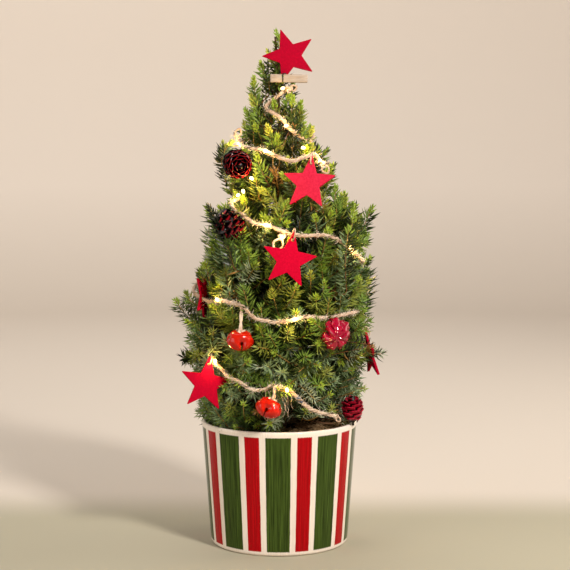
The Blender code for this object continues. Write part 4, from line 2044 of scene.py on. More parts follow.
@dataclass
class Cones:
    """Small cones: a core and rows of thick rounded scales in a spiral."""

    scale_reach: float = 0.85
    poses: tuple[ConePose, ...] = (
        ConePose("cone_upper", (-42.9, -48.0, 404.3), (0.36, -1.0, -0.24), 34.0, 16.4, 4.0, 74.0, 0.09, 50),
        ConePose(
            "cone_middle", (-49.5, -60.0, 341.1), (0.74, -0.22, -0.62), 40.0, 16.2, 18.0, 66.0, 0.13, 46,
            1.30,
        ),
        ConePose(
            "cone_rim", (77.0, -36.0, 149.5), (-0.05, -0.20, 1.0), 35.0, 11.0, 60.0, 81.0, 0.52, 31, 1.16,
            0.120, CRIMSON_DYE, 0.24, -0.15,
        ),
        ConePose(
            "cone_back_left", (-66.0, 56.0, 200.0), (-0.50, 0.70, -0.40), 34.0, 15.6, 8.0, 72.0, 0.10, 50
        ),
        ConePose(
            "cone_back_right", (40.0, 68.0, 330.0), (0.30, 0.80, -0.35), 34.0, 15.6, 8.0, 72.0, 0.10, 50
        ),
    )

    def build(self) -> None:
        """Make the cones."""
        made = {finish.name: finish.materials() for finish in (MAROON_DYE, CRIMSON_DYE)}
        for pose in self.poses:
            radius = pose.radius_mm * MM
            scale = self.shape_scale(pose)
            reach = radius * self.scale_reach
            # Faces past the rim share are dyed rim; the rest, and the core, take the near-black inner
            # colour, partly painted shade between the scales.
            parts = [
                1 if face.center.x > reach * (1.0 - pose.rim_share) else 0 for face in scale.data.polygons
            ]
            cone = copies(pose.name, scale, self.scale_places(pose), made[pose.finish.name], parts=parts)
            self.join_core(cone, pose)
            way = Vector(pose.tip_way).normalized()
            turn = way.to_track_quat("Z", "Y").to_matrix().to_4x4()
            cone.data.transform(Matrix.Translation(Vector(pose.middle_mm) * MM) @ turn)
            smooth(cone, 50.0)
            publish(cone, "cone")

    def shape_scale(self, pose: ConePose) -> bpy.types.Object:
        """Model one scale: it grows out along +X and its rounded rim curls up.

        Args:
            pose: The cone.

        Returns:
            The scale at the origin.
        """
        bpy.ops.object.select_all(action="DESELECT")
        bpy.ops.mesh.primitive_grid_add(x_subdivisions=6, y_subdivisions=5, size=1.0)
        scale = new_piece("cone_scale")
        radius = pose.radius_mm * MM
        long, wide = radius * self.scale_reach, radius * pose.scale_width
        for vertex in scale.data.vertices:
            out = vertex.co.x + 0.5
            across = vertex.co.y * 2.0
            width = wide * (0.30 + 0.78 * math.sin(math.pi * min(out * 0.60 + 0.04, 1.0)))
            round_off = 1.0 - 0.26 * across**2 * out
            lift = radius * (pose.curl * out**2.2 + pose.wrap * across**2 * out)
            vertex.co = Vector((long * out * round_off, width * across * 0.5, lift))
        use_modifier(scale, "SOLIDIFY", thickness=radius * pose.scale_thick, offset=0.0)
        return scale

    def scale_places(self, pose: ConePose) -> list[Matrix]:
        """Set the scales round the core in a golden-angle spiral.

        Args:
            pose: The cone.

        Returns:
            Place of each scale; the cone's tip points up.
        """
        places = []
        length, radius = pose.length_mm * MM, pose.radius_mm * MM
        for i in range(pose.scales):
            t = (i + 0.5) / pose.scales
            swell = math.sin(math.pi * (0.20 + 0.76 * t)) ** 0.7
            size = max(0.36, swell) * (1.0 - 0.22 * t)
            height = length * (0.78 * t - 0.46)
            rise = math.radians(pose.open_deg + (pose.closed_deg - pose.open_deg) * t)
            reach = radius * self.scale_reach * size * max(0.25, math.cos(rise))
            inner = radius * swell * (1.0 - 0.10 * t) - reach
            spin = Matrix.Rotation(GOLDEN_ANGLE * i, 4, "Z")
            lean = Matrix.Rotation(-rise, 4, "Y")
            shape = Matrix.Scale(size, 4)
            places.append(spin @ Matrix.Translation((max(inner, 0.0), 0.0, height)) @ lean @ shape)
        return places

    def join_core(self, cone: bpy.types.Object, pose: ConePose) -> None:
        """Join the cone's woody core and its stub of stalk to its scales.

        Args:
            cone: The joined scales at the origin.
            pose: The cone.
        """
        length, radius = pose.length_mm * MM, pose.radius_mm * MM
        profile = [(0.0, -0.56 * length), (0.0012, -0.56 * length), (0.0013, -0.47 * length)]
        for share in np.linspace(0.06, 0.94, 9):
            profile.append(
                (radius * 0.56 * math.sin(math.pi * share) ** 0.6, length * (0.86 * share - 0.46))
            )
        profile.append((0.0, length * 0.40))
        core = turned("cone_core", profile, 20)
        core.data.materials.append(cone.data.materials[0])
        pick(cone, core)
        bpy.ops.object.join()


# ---------------------------------------------------------------------------------------------
# Jingle bells
# ---------------------------------------------------------------------------------------------


@dataclass(frozen=True)
class BellEnamel:
    """Pressed steel bell, sprayed with glossy enamel: even colour with sharp soft-box highlights."""

    name: str
    colour: str
    depth: str
    roughness: float = 0.16
    gloss: float = 0.3

    def material(self) -> bpy.types.Material:
        """Return the enamel as a material."""
        material, tree, shader = new_material(self.name)
        place = object_place(tree)
        clouds = speckle(tree, place, 110.0, 2.0)
        colour = mix(tree, clouds, self.colour, self.depth)
        peel = speckle(tree, place, 500.0, 2.0)
        add_bump(tree, shader, peel, 0.08, 0.0003)
        feed(
            tree,
            shader,
            {
                "Base Color": colour,
                "Roughness": self.roughness,
                "Specular IOR Level": self.gloss,
                "Coat Weight": 0.18,
                "Coat Roughness": 0.06,
            },
        )
        return material


@dataclass(frozen=True)
class BellPose:
    """One bell: its middle, the way that its slit side points, its spin, radius, finish and crumpling."""

    name: str
    middle_mm: Place
    slit_way: Place
    spin: float
    radius_mm: float
    finish: BellEnamel
    crumpled: bool = False

    def matrix(self) -> Matrix:
        """Return the pose of a bell that is modelled with its slit side down."""
        down = Vector(self.slit_way).normalized()
        turn = down.to_track_quat("-Z", "Y").to_matrix().to_4x4()
        return (
            Matrix.Translation(Vector(self.middle_mm) * MM)
            @ turn
            @ Matrix.Rotation(math.radians(self.spin), 4, "Z")
        )


ORANGE_ENAMEL = BellEnamel("orange_red_enamel", "c81e07", "b01003", 0.11)
CRIMSON_FOIL = BellEnamel("crimson_foil", "b80333", "820224", 0.08, 0.6)
# Near-black red for the bell's inner faces and its pea: painted shade inside the bell.
BELL_INSIDE_SHADE = BellEnamel("bell_inside", "2a0503", "140201", 0.6, 0.1)


class BellCut(Enum):
    """Openings that are cut into a bell."""

    SLIT = 0
    SLIT_END = 1
    TOP_HOLE = 2


@dataclass
class JingleBells:
    """Round bells pressed into four lobes, with a crossed slit below and a hole for the twine on top."""

    model_mm: float = 14.4
    squash: float = 0.76
    wall: float = 0.0008
    slit: float = 0.0017
    slit_top: float = -0.05
    slit_hole: float = 0.0016
    top_hole: float = 0.0047
    pinch: float = 0.33
    poses: tuple[BellPose, ...] = (
        BellPose("bell_left", (-38.9, -87.0, 227.3), (-0.03, 0.20, -0.98), 2.0, 14.2, ORANGE_ENAMEL),
        BellPose("bell_low", (-10.2, -94.5, 159.5), (-0.42, 0.02, -0.90), -8.0, 14.0, ORANGE_ENAMEL),
        BellPose("bell_right", (57.5, -78.0, 232.7), (0.06, -0.98, -0.18), 12.0, 15.6, CRIMSON_FOIL, True),
        BellPose("bell_back_left", (-26.0, 70.0, 358.0), (0.0, 0.20, -0.98), 20.0, 14.2, ORANGE_ENAMEL),
        BellPose("bell_back_low", (22.0, 84.0, 207.0), (0.10, -0.10, -0.98), -30.0, 14.0, ORANGE_ENAMEL),
    )

    def build(self) -> None:
        """Press one bell and hang a copy of it in each place."""
        finishes = {pose.finish.name: pose.finish.material() for pose in self.poses}
        inside = BELL_INSIDE_SHADE.material()
        model = self.shape(self.model_mm * MM)
        crumpled = self.crumple(self.model_mm * MM)
        for pose in self.poses:
            bell = mesh_copy(pose.name, crumpled if pose.crumpled else model)
            bell.data.materials.append(finishes[pose.finish.name])
            bell.data.materials.append(inside)
            matrix = pose.matrix() @ Matrix.Scale(pose.radius_mm / self.model_mm, 4)
            bell.data.transform(matrix)
            publish(bell, "bell")
        bpy.data.objects.remove(model)
        bpy.data.objects.remove(crumpled)

    def shape(self, radius: float) -> bpy.types.Object:
        """Press one bell at the origin with its slits underneath.

        Args:
            radius: Its radius across.

        Returns:
            The bell, with the pea inside.
        """
        bpy.ops.object.select_all(action="DESELECT")
        bpy.ops.mesh.primitive_uv_sphere_add(segments=72, ring_count=44, radius=radius)
        bell = new_piece("bell_model")
        for vertex in bell.data.vertices:
            vertex.co = self.press(vertex.co, radius)
        use_modifier(bell, "SOLIDIFY", thickness=self.wall, offset=-1.0)
        # Inner faces take the second material, painted shade inside the bell.
        for face in bell.data.polygons:
            face.material_index = 1 if face.center.dot(face.normal) < 0.0 else 0
        for turn in (0.0, 90.0):
            low = radius * (1.0 - self.slit_top)
            top, across = radius * self.slit_top, radius * 2.4
            self.cut(bell, BellCut.SLIT, top - low / 2, (across, self.slit, low), turn)
            self.cut(bell, BellCut.SLIT_END, top, (self.slit_hole, self.slit_hole, across), turn)
        self.cut(bell, BellCut.TOP_HOLE, radius * 0.7, (self.top_hole, self.top_hole, radius), 0.0)
        bpy.ops.object.select_all(action="DESELECT")
        bpy.ops.mesh.primitive_ico_sphere_add(
            subdivisions=3, radius=radius * 0.34, location=(0.0, 0.0, -radius * 0.36)
        )
        pea = new_piece("bell_pea")
        # The pea takes the painted shade of the inside too.
        for face in pea.data.polygons:
            face.material_index = 1
        pick(bell, pea)
        bpy.ops.object.join()
        smooth(bell, 42.0)
        return bell

    def press(self, place: Vector, radius: float) -> Vector:
        """Press one point of a sphere into the bell's four lobes.

        Args:
            place: The point on the sphere.
            radius: Radius of the sphere.

        Returns:
            The pressed point: valleys above the slits that open into flat faces further up.
        """
        height = place.z / radius
        turn = math.atan2(place.y, place.x)
        off = abs((turn + math.pi / 4) % (math.pi / 2) - math.pi / 4)
        spread = min(max((height + 0.30) / 0.95, 0.0), 1.0)
        half_width = math.radians(12.0 + 32.0 * spread)
        valley = min(1.0, 1.5 * max(0.0, 1.0 - off / half_width))
        depth = self.pinch * math.exp(-(((height + 0.02) / 0.50) ** 2))
        shrink = 1.0 - depth * valley
        dip = 0.18 * max(0.0, height - 0.72) * radius
        return Vector((place.x * shrink, place.y * shrink, place.z * self.squash - dip))

    def cut(
        self, bell: bpy.types.Object, kind: BellCut, height: float, size: Place, turn_deg: float
    ) -> None:
        """Cut one opening out of a bell.

        Args:
            bell: The bell.
            kind: Which opening: a slit is a block, its end a level rod and the top hole an upright one.
            height: Height of the middle of the cut.
            size: Its sizes; for a rod the first is the radius and the last the length.
            turn_deg: Turn round the bell's axis.
        """
        bpy.ops.object.select_all(action="DESELECT")
        place, turn = (0.0, 0.0, height), math.radians(turn_deg)
        if kind is BellCut.SLIT:
            bpy.ops.mesh.primitive_cube_add(size=1.0, location=place, rotation=(0.0, 0.0, turn), scale=size)
        else:
            lean = math.radians(90.0) if kind is BellCut.SLIT_END else 0.0
            bpy.ops.mesh.primitive_cylinder_add(
                vertices=24, radius=size[0], depth=size[2], location=place, rotation=(0.0, lean, turn)
            )
        tool = new_piece("bell_punch")
        use_modifier(bell, "BOOLEAN", object=tool, operation="DIFFERENCE", solver="EXACT")
        bpy.data.objects.remove(tool)

    def crumple(self, radius: float) -> bpy.types.Object:
        """Model a ball wrapped in foil: pleats run out from its underside and its skin is creased.

        Args:
            radius: Its radius.

        Returns:
            The ball at the origin, pleated side down.
        """
        bpy.ops.object.select_all(action="DESELECT")
        bpy.ops.mesh.primitive_ico_sphere_add(subdivisions=5, radius=1.0)
        ball = new_piece("foil_model")
        for vertex in ball.data.vertices:
            way = vertex.co.normalized()
            turn = math.atan2(way.y, way.x)
            pleat = abs(math.sin(3.5 * turn + 1.5 * noise.noise(way * 2.0)))
            share = math.sin(math.acos(min(max(-way.z, -1.0), 1.0))) ** 0.7
            fold = (
                0.25 * (1.0 - pleat) ** 1.7 * share
                + 0.16 * noise.noise(way * 2.4 + Vector((3.0, 1.0, 5.0)))
            )
            vertex.co = way * radius * (1.06 - fold)
            vertex.co.x *= 0.90
        smooth(ball, 24.0)
        return ball


# ---------------------------------------------------------------------------------------------
# Clothes peg
# ---------------------------------------------------------------------------------------------


@dataclass(frozen=True)
class PegWood:
    """Birch, sawn and tumbled: pale and close grained, with a silky matt surface."""

    light: str = "b5a595"
    grain: str = "9f866d"

    def material(self) -> bpy.types.Material:
        """Return the wood as a material."""
        material, tree, shader = new_material("tumbled_birch")
        place = object_place(tree)
        # Grain lines of about 0.6 mm along the peg.
        along = stretch(tree, place, (70.0, 900.0, 900.0))
        lines = speckle(tree, along, 1.0, 4.0, 0.6)
        share = remap(tree, lines, (0.42, 0.74))
        colour = mix(tree, share, self.light, self.grain)
        add_bump(tree, shader, lines, 0.25, 0.0003)
        feed(tree, shader, {"Base Color": colour, "Roughness": 0.6})
        return material


@dataclass(frozen=True)
class SpringWire:
    """Drawn steel wire, slightly tarnished: dark grey with thin bright glints."""

    colour: str = "4d4b45"

    def material(self) -> bpy.types.Material:
        """Return the wire as a material."""
        material, tree, shader = new_material("tarnished_steel_wire")
        place = object_place(tree)
        stain = speckle(tree, place, 500.0, 3.0)
        rough = remap(tree, stain, target=(0.25, 0.5))
        feed(tree, shader, {"Roughness": rough, "Base Color": linear(self.colour), "Metallic": 1.0})
        return material


@dataclass
class ClothesPeg:
    """A mini spring peg that holds the top star to the leader."""

    middle_mm: Place = (10.2, -17.0, 493.3)
    length: float = 0.0388
    width: float = 0.0082
    half: float = 0.0031
    spring_x: float = -0.0065
    wire: float = 0.00055
    roll_deg: float = 0.5
    turn_deg: float = 4.0

    def build(self) -> None:
        """Shape both halves and wind the spring."""
        place = Matrix.Translation(Vector(self.middle_mm) * MM)
        turn = Matrix.Rotation(math.radians(self.turn_deg), 4, "Z")
        turn = turn @ Matrix.Rotation(math.radians(self.roll_deg), 4, "Y")
        wood = PegWood().material()
        for name, side in (("peg_front", -1.0), ("peg_back", 1.0)):
            leg = self.shape_leg(name)
            if side > 0:
                leg.data.transform(Matrix.Rotation(math.pi, 4, "X"))
            leg.data.transform(
                place @ turn @ Matrix.Translation((0.0, side * (self.half / 2 + 0.0008), 0.0))
            )
            leg.data.materials.append(wood)
            publish(leg, "peg")
        self.wind_spring(place @ turn)

    def shape_leg(self, name: str) -> bpy.types.Object:
        """Shape one half: a slat with a spring groove, a jaw notch and a thinned grip.

        Args:
            name: Name of the half.

        Returns:
            The half at the origin; its outer face is towards -Y.
        """
        bpy.ops.object.select_all(action="DESELECT")
        bpy.ops.mesh.primitive_cube_add(size=1.0, scale=(self.length, self.half, self.width))
        leg = new_piece(name)
        groove = (self.spring_x - 0.0011, self.spring_x + 0.0011)
        cuts = (*groove, -self.length / 2 + 0.0024, self.length / 2 - 0.010, self.length / 2 - 0.006)
        with editing(leg, "FACE"):
            for cut in cuts:
                bpy.ops.mesh.select_all(action="SELECT")
                bpy.ops.mesh.bisect(plane_co=(cut, 0.0, 0.0), plane_no=(1.0, 0.0, 0.0))
            select_points(leg, lambda place: abs(place.x - self.spring_x) < 0.0012 and place.y < 0.0)
            bpy.ops.transform.translate(value=(0.0, 0.0007, 0.0))
            select_points(leg, lambda place: place.x < -self.length / 2 + 0.0005 and place.y < 0.0)
            bpy.ops.transform.translate(value=(0.0, 0.0012, 0.0))
            select_points(leg, lambda place: place.x > self.length / 2 - 0.0005 and place.y > 0.0)
            bpy.ops.transform.translate(value=(0.0, -0.0014, 0.0))
        use_modifier(
            leg, "BEVEL", width=0.00035, segments=2, limit_method="ANGLE", angle_limit=math.radians(35.0)
        )
        smooth(leg, 40.0)
        return leg

    def wind_spring(self, pose: Matrix) -> None:
        """Wind the spring: a coil across the peg and an arm over each half.

        Args:
            pose: Pose of the peg.
        """
        reach = self.half + 0.0010
        coil, turns, per_turn = 0.0017, 3, 12
        low, side = -self.width / 2 - 0.0004, self.width / 2
        line = [(self.spring_x, -reach, low), (self.spring_x, -reach, side + 0.0006)]
        for i in range(turns * per_turn + 1):
            angle = 2 * math.pi * i / per_turn
            height = (
                side
                + 0.0014
                + self.wire * 0.4 * math.sin(angle * 0.5)
                - i * self.wire * 1.9 / per_turn
            )
            line.append((self.spring_x - coil * math.cos(angle) + coil, coil * math.sin(angle), height))
        line += [(self.spring_x, reach, side - 0.0006), (self.spring_x, reach, low)]
        tube = cord([pose @ Vector(place) for place in line], self.wire, 8)
        publish(mesh_piece("peg_spring", *tube, [SpringWire().material()], smooth=True), "wire")


# ---------------------------------------------------------------------------------------------
# Jute twine and fairy lights
# ---------------------------------------------------------------------------------------------


def fair_line(points: np.ndarray, step: float) -> np.ndarray:
    """Lay evenly spaced points on a smooth curve through the given ones.

    Args:
        points: Points that the curve passes, n by 3.
        step: Distance between the new points.

    Returns:
        The new points.
    """
    dense = []
    padded = np.concatenate((points[:1] * 2 - points[1:2], points, points[-1:] * 2 - points[-2:-1]))
    for a, b, c, d in zip(padded[:-3], padded[1:-2], padded[2:-1], padded[3:]):
        for t in np.linspace(0.0, 1.0, 12, endpoint=False):
            bend, twist = 2 * a - 5 * b + 4 * c - d, 3 * b - a - 3 * c + d
            dense.append(0.5 * (2 * b + (c - a) * t + bend * t**2 + twist * t**3))
    dense.append(points[-1])
    line = np.array(dense)
    along = run_length(line)
    wanted = np.linspace(0.0, along[-1], max(4, round(along[-1] / step)))
    return np.stack([np.interp(wanted, along, line[:, i]) for i in range(3)], axis=1)


@dataclass(frozen=True)
class JuteFibre:
    """Raw jute, loosely spun: pale tan, matt and hairy, with darker and lighter strands."""

    light: str = "e6d1bc"
    dark: str = "bd9a7e"

    def material(self) -> bpy.types.Material:
        """Return the jute as a material."""
        material, tree, shader = new_material("spun_jute")
        place = object_place(tree)
        # Fibre bundles of about 0.7 mm over slow changes of 8 mm.
        bundles = speckle(tree, place, 1300.0, 3.0, 0.7)
        slow = speckle(tree, place, 120.0, 1.0)
        both = maths(tree, "ADD", bundles, slow)
        share = remap(tree, both, (0.75, 1.25))
        colour = mix(tree, share, self.dark, self.light)
        add_bump(tree, shader, bundles, 0.7, 0.0006)
        feed(tree, shader, {"Base Color": colour, "Roughness": 0.9, "Specular IOR Level": 0.2})
        return material


@dataclass(frozen=True)
class SleevePlastic:
    """Shrunk plastic sleeve over a joint: blue-grey, half matt, paler where it is stretched."""

    light: str = "66708a"
    dark: str = "49526a"

    def material(self) -> bpy.types.Material:
        """Return the plastic as a material."""
        material, tree, shader = new_material("shrunk_sleeve_plastic")
        place = object_place(tree)
        patches = speckle(tree, place, 700.0, 2.0)
        colour = mix(tree, patches, self.light, self.dark)
        feed(tree, shader, {"Base Color": colour, "Roughness": 0.4})
        return material


@dataclass(frozen=True)
class TwinePass:
    """One stretch of twine over the crown's front.

    Each place is given across and up in the trunk's plane; sinks tell how deep each lies in the shoots.
    """

    places_mm: Table
    sinks_mm: tuple[float, ...] = ()


@dataclass
class JuteGarland:
    """Jute twine wound down the crown, in front and behind, with loops, knots and loose fibres."""

    strand_radius: float = 0.00098
    lay_radius: float = 0.00100
    lay_length: float = 0.0135
    strands: int = 3
    step: float = 0.0017
    proud_mm: float = 2.0
    end_sink_mm: float = 15.0
    fuzz: int = 4600
    hair_half: float = 0.00016
    wisps: int = 11
    sleeve_mm: tuple[float, float] = (22.0, 153.5)
    sleeve_radius: float = 0.0019
    thread: float = 0.00125
    bows_mm: tuple[tuple[float, ...], ...] = (
        (10.5, 483.0, 3.6, 1.1, 8.0, 2.5),
        (45.4, 404.5, 3.0, 1.1, 6.0, -9.5),
        (3.0, 327.0, 3.4, 1.2, -7.0, -13.0),
        (-45.0, 433.0, 0.9, 1.1, 3.5, 8.5),
        (61.0, 134.0, 2.4, 0.9, 4.0, -5.0),
    )
    seed: int = 23
    passes: tuple[TwinePass, ...] = (
        TwinePass(
            (
                (10.4, 483.5), (-2.3, 475.1), (-14.3, 464.4), (-6.5, 458.3), (3.6, 451.5), (7.6, 445.0),
                (16.0, 438.0),
            ),
            (4.0, 9.0, 7.0, 3.0, 0.0, 2.0, 14.0),
        ),
        TwinePass(
            (
                (-46.7, 436.0), (-44.0, 430.0), (-41.1, 424.9), (-29.0, 420.8), (-14.4, 418.4),
                (-3.0, 412.8), (11.6, 407.9), (24.6, 411.1), (37.6, 414.4), (42.5, 408.7), (45.8, 404.7),
            )
        ),
        TwinePass(
            (
                (-50.2, 364.1), (-48.6, 357.6), (-35.6, 347.8), (-25.8, 341.3), (-14.4, 339.8),
                (-3.1, 335.7), (11.6, 330.0), (29.6, 328.4), (49.1, 329.1), (63.8, 323.5), (74.4, 313.6),
                (83.5, 307.1), (89.4, 300.4),
            )
        ),
        TwinePass(
            (
                (-66.1, 260.3), (-53.8, 257.0), (-39.0, 252.2), (-29.3, 242.3), (-16.2, 237.3),
                (0.2, 235.6), (16.6, 239.0), (29.6, 241.4), (49.3, 240.6), (69.0, 243.9), (82.0, 247.2),
            ),
            (9.0, 2.0),
        ),
        TwinePass(
            (
                (-69.6, 193.6), (-62.3, 186.1), (-54.0, 176.1), (-42.6, 171.2), (-29.5, 162.9),
                (-14.6, 162.9), (-8.1, 167.9), (8.3, 162.9), (20.0, 154.6), (29.8, 144.7), (43.0, 137.9),
                (61.1, 134.9),
            ),
            (2.0, 4.0, 5.0, 4.0, 4.0, 1.0),
        ),
    )

    probes: Table = ((0.0, 0.0), (0.06, 0.0), (-0.06, 0.0), (0.0, 0.006), (0.0, -0.006))
    smoothing: Place = (0.25, 0.5, 0.25)
    line: np.ndarray = field(init=False)
    draw: np.random.Generator = field(init=False)

    def build(self, space: CrownSpace) -> None:
        """Lay the twine round the crown.

        Args:
            space: The crown that carries it.
        """
        self.draw = np.random.default_rng(self.seed)
        self.line = self.route(space)
        LOG.info("garland: %.2f m of twine", run_length(self.line)[-1])
        finish = JuteFibre().material()
        publish(mesh_piece("jute_garland", *self.spin(self.line), [finish], smooth=True), "twine")
        # The loose fibres take a paler jute than the twine: painted light on the thin fibres.
        publish(self.hair(JuteFibre("fff2e4", "ecd6bc").material()), "twine")
        publish(self.tie(space, finish), "twine")
        index = int(np.linalg.norm(self.line - self.rest(space, *self.sleeve_mm), axis=1).argmin())
        sleeve = cord(self.line[index - 3 : index + 3], self.sleeve_radius, 10)
        publish(mesh_piece("cord_sleeve", *sleeve, [SleevePlastic().material()], smooth=True), "wire")

    def route(self, space: CrownSpace) -> np.ndarray:
        """Join the front passes by turns behind the crown.

        Args:
            space: The crown.

        Returns:
            Evenly spaced points along the whole twine.
        """
        rough: list[np.ndarray] = []
        for number, one in enumerate(self.passes):
            sinks = (*one.sinks_mm, *[0.0] * len(one.places_mm))
            front = np.array([self.rest(space, x, z, sink) for (x, z), sink in zip(one.places_mm, sinks)])
            front[:, 1] = self.evened(front[:, 1])
            if number:
                rough.extend(self.turn_behind(space, rough[-1], front[0]))
            rough.extend(front)
        return fair_line(np.array(rough), self.step)

    def rest(self, space: CrownSpace, x_mm: float, z_mm: float, sink_mm: float = 0.0) -> np.ndarray:
        """Find where the twine rests on the crown along one line of sight.

        Args:
            space: The crown.
            x_mm: Place across in the trunk's plane.
            z_mm: Height in the trunk's plane.
            sink_mm: How deep it lies among the shoots.

        Returns:
            A point just in front of the nearest shoots.
        """
        around = [(0.0, 0.0), (5.0, 0.0), (-5.0, 0.0), (0.0, 5.0), (0.0, -5.0), (4.0, 4.0), (-4.0, -4.0)]
        near = [space.front(x_mm + dx, z_mm + dz) for dx, dz in around]
        reach = sorted(place[1] for place in near if place[1] < -0.004)
        depth = reach[len(reach) // 3] if reach else -0.012
        eye = np.array(Studio.eye)
        way = unit(np.array((x_mm * MM, 0.0, z_mm * MM)) - eye)
        return eye + way * ((depth + (sink_mm - self.proud_mm) * MM - eye[1]) / way[1])

    def turn_behind(self, space: CrownSpace, start: np.ndarray, end: np.ndarray) -> list[np.ndarray]:
        """Lead the twine from the right edge round the back to the left edge.

        Args:
            space: The crown.
            start: Where the last front pass ends.
            end: Where the next one begins.

        Returns:
            Points between the two.
        """
        first = math.atan2(start[1], start[0])
        last = math.atan2(end[1], end[0]) + 2 * math.pi
        count = max(6, round((last - first) / 0.22))
        found = []
        for i in range(1, count):
            share = i / count
            turn = first + (last - first) * share
            waver = (
                0.0045 * math.sin(share * 9.0 + start[2] * 50.0)
                + 0.0035 * math.sin(share * 23.0 + start[2] * 90.0)
            )
            height = start[2] + (end[2] - start[2]) * share + waver
            reach = [np.hypot(*space.around(turn + da, height + dz)[:2]) for da, dz in self.probes]
            sink = self.end_sink_mm if min(i, count - i) <= 2 else 5.0 * self.draw.random() ** 2
            radius = sorted(reach)[3] + (self.proud_mm - sink) * MM
            found.append(np.array((radius * math.cos(turn), radius * math.sin(turn), height)))
        radii = np.array([np.hypot(place[0], place[1]) for place in found])
        for place, before, after in zip(found, radii, self.evened(radii)):
            place[:2] *= after / before
        return found

    def evened(self, values: np.ndarray) -> np.ndarray:
        """Even out values with their neighbours."""
        return np.convolve(np.pad(values, 1, mode="edge"), self.smoothing, mode="valid")

    def spin(self, line: np.ndarray) -> Pair:
        """Twist strands round a line.

        Args:
            line: Evenly spaced points.

        Returns:
            Vertices and triangles of all strands.
        """
        way = unit(np.gradient(line, axis=0))
        aside = unit(np.cross(way, np.array((0.0, 0.0, 1.0))))
        over = np.cross(aside, way)
        along = run_length(line)
        tubes: list[Pair] = []
        for strand in range(self.strands):
            waver = self.spread(along, self.draw.normal(0.0, 0.35, 240))
            turn = 2 * math.pi * (along / self.lay_length + strand / self.strands) + waver
            lay = self.lay_radius * self.spread(along, self.draw.uniform(0.75, 1.45, 300))
            thick = self.strand_radius * self.spread(along, self.draw.uniform(0.72, 1.22, 400))
            path = line + aside * (lay * np.cos(turn))[:, None] + over * (lay * np.sin(turn))[:, None]
            tubes.append(tube_mesh(path, thick, 6))
        return joined(tubes)

    def spread(self, along: np.ndarray, values: np.ndarray) -> np.ndarray:
        """Spread drawn values evenly along the twine and read them at each point."""
        return np.interp(along, np.linspace(0, along[-1], len(values)), values)

    def hair(self, finish: bpy.types.Material) -> bpy.types.Object:
        """Set loose fibres along the twine.

        Args:
            finish: The jute.

        Returns:
            One joined mesh of thin closed slivers.
        """
        index = self.draw.integers(2, len(self.line) - 2, self.fuzz)
        foot = self.line[index] + self.draw.normal(0.0, 0.0007, (self.fuzz, 3))
        way = unit(self.line[index + 1] - self.line[index - 1])
        heading = way * self.draw.choice((-1.0, 1.0), self.fuzz)[:, None] * 0.8
        heading = unit(heading + unit(self.draw.normal(size=(self.fuzz, 3))) * 0.75)
        length = self.draw.uniform(0.0025, 0.0085, self.fuzz)
        side = unit(np.cross(heading, way) + 1e-6)
        over = np.cross(side, heading)
        middle = foot + heading * (length * 0.5)[:, None] + self.draw.normal(0.0, 0.0005, (self.fuzz, 3))
        tip = foot + heading * length[:, None] + self.draw.normal(0.0, 0.0009, (self.fuzz, 3))
        return slivers("jute_hair", (foot, middle, tip), (side, over), self.hair_half, 0.0, [finish])

    def tie(self, space: CrownSpace, finish: bpy.types.Material) -> bpy.types.Object:
        """Tie the knots, the star hangers, the bell hangers and the loose ends.

        Args:
            space: The crown.
            finish: The jute.

        Returns:
            One joined mesh.
        """
        tubes = [*self.tie_bows(space), *self.tie_stars(), *self.tie_bells(), *self.hang_wisps(space)]
        return mesh_piece("jute_ties", *joined(tubes), [finish], smooth=True)

    def tie_bows(self, space: CrownSpace) -> list[Pair]:
        """Tie a knot with one loop at each place of bows_mm."""
        tubes: list[Pair] = []
        for x, z, size, radius, loop_x, loop_z in self.bows_mm:
            middle = self.rest(space, x, z) + (0.0, -0.001, 0.0)
            tubes.append(cord(self.knot(middle, size * MM), radius * MM))
            loop = np.array((loop_x, -1.0, loop_z)) * MM
            wide = unit(np.array((-loop_z, 0.0, loop_x))) * float(np.linalg.norm(loop)) * 0.34
            path = (
                middle
                + np.array((loop * 0.0, loop * 0.55 + wide, loop, loop * 0.55 - wide, loop * 0.05))
            )
            tubes.append(cord(fair_line(path, 0.0008), radius * MM))
        return tubes

    def tie_stars(self) -> list[Pair]:
        """Pull a ring of thread through each punched star."""
        tubes: list[Pair] = []
        for pose in FeltStars().poses:
            if not pose.punched:
                continue
            matrix = pose.matrix()
            drop = (pose.reach_mm * MM) - FeltStars.hole_drop
            ring = []
            for i in range(15):
                angle = 2 * math.pi * i / 14
                high = drop + 0.0055 - 0.0062 * math.cos(angle)
                ring.append(matrix @ Vector((0.0006 * math.sin(angle), -0.0042 * math.sin(angle), high)))
            tubes.append(cord(ring, 0.00065, 5))
        return tubes

    def tie_bells(self) -> list[Pair]:
        """Hang each bell on a doubled thread, which a knot holds inside an enamel bell."""
        tubes: list[Pair] = []
        for pose in JingleBells().poses:
            radius = pose.radius_mm * MM
            up = -Vector(pose.slit_way).normalized()
            eye = Vector(pose.middle_mm) * MM + up * radius * 0.95
            above = np.array(eye) + (0.0, 0.0, 0.012)
            near = self.line[np.linalg.norm((self.line - above) * (3.0, 1.0, 1.0), axis=1).argmin()]
            close = (Vector(near) - eye).length < 0.035
            lift = Vector(near) if close else eye + Vector((0.0, 0.008, 0.016))
            start = eye - up * radius * 0.35
            middle = eye.lerp(lift, 0.5) + Vector((0.0, -0.001, 0.0))
            for aside in (-0.0008, 0.0008):
                shift = Vector((aside, aside * 0.6, 0.0))
                path = np.array((start + shift, eye + shift, middle - shift, lift + shift))
                tubes.append(cord(fair_line(path, 0.002), self.thread))
            if not pose.crumpled:
                seat = Vector(pose.middle_mm) * MM + up * radius * 0.53
                tubes.append(cord(self.stopper(seat, up, radius * 0.38), self.thread))
        return tubes

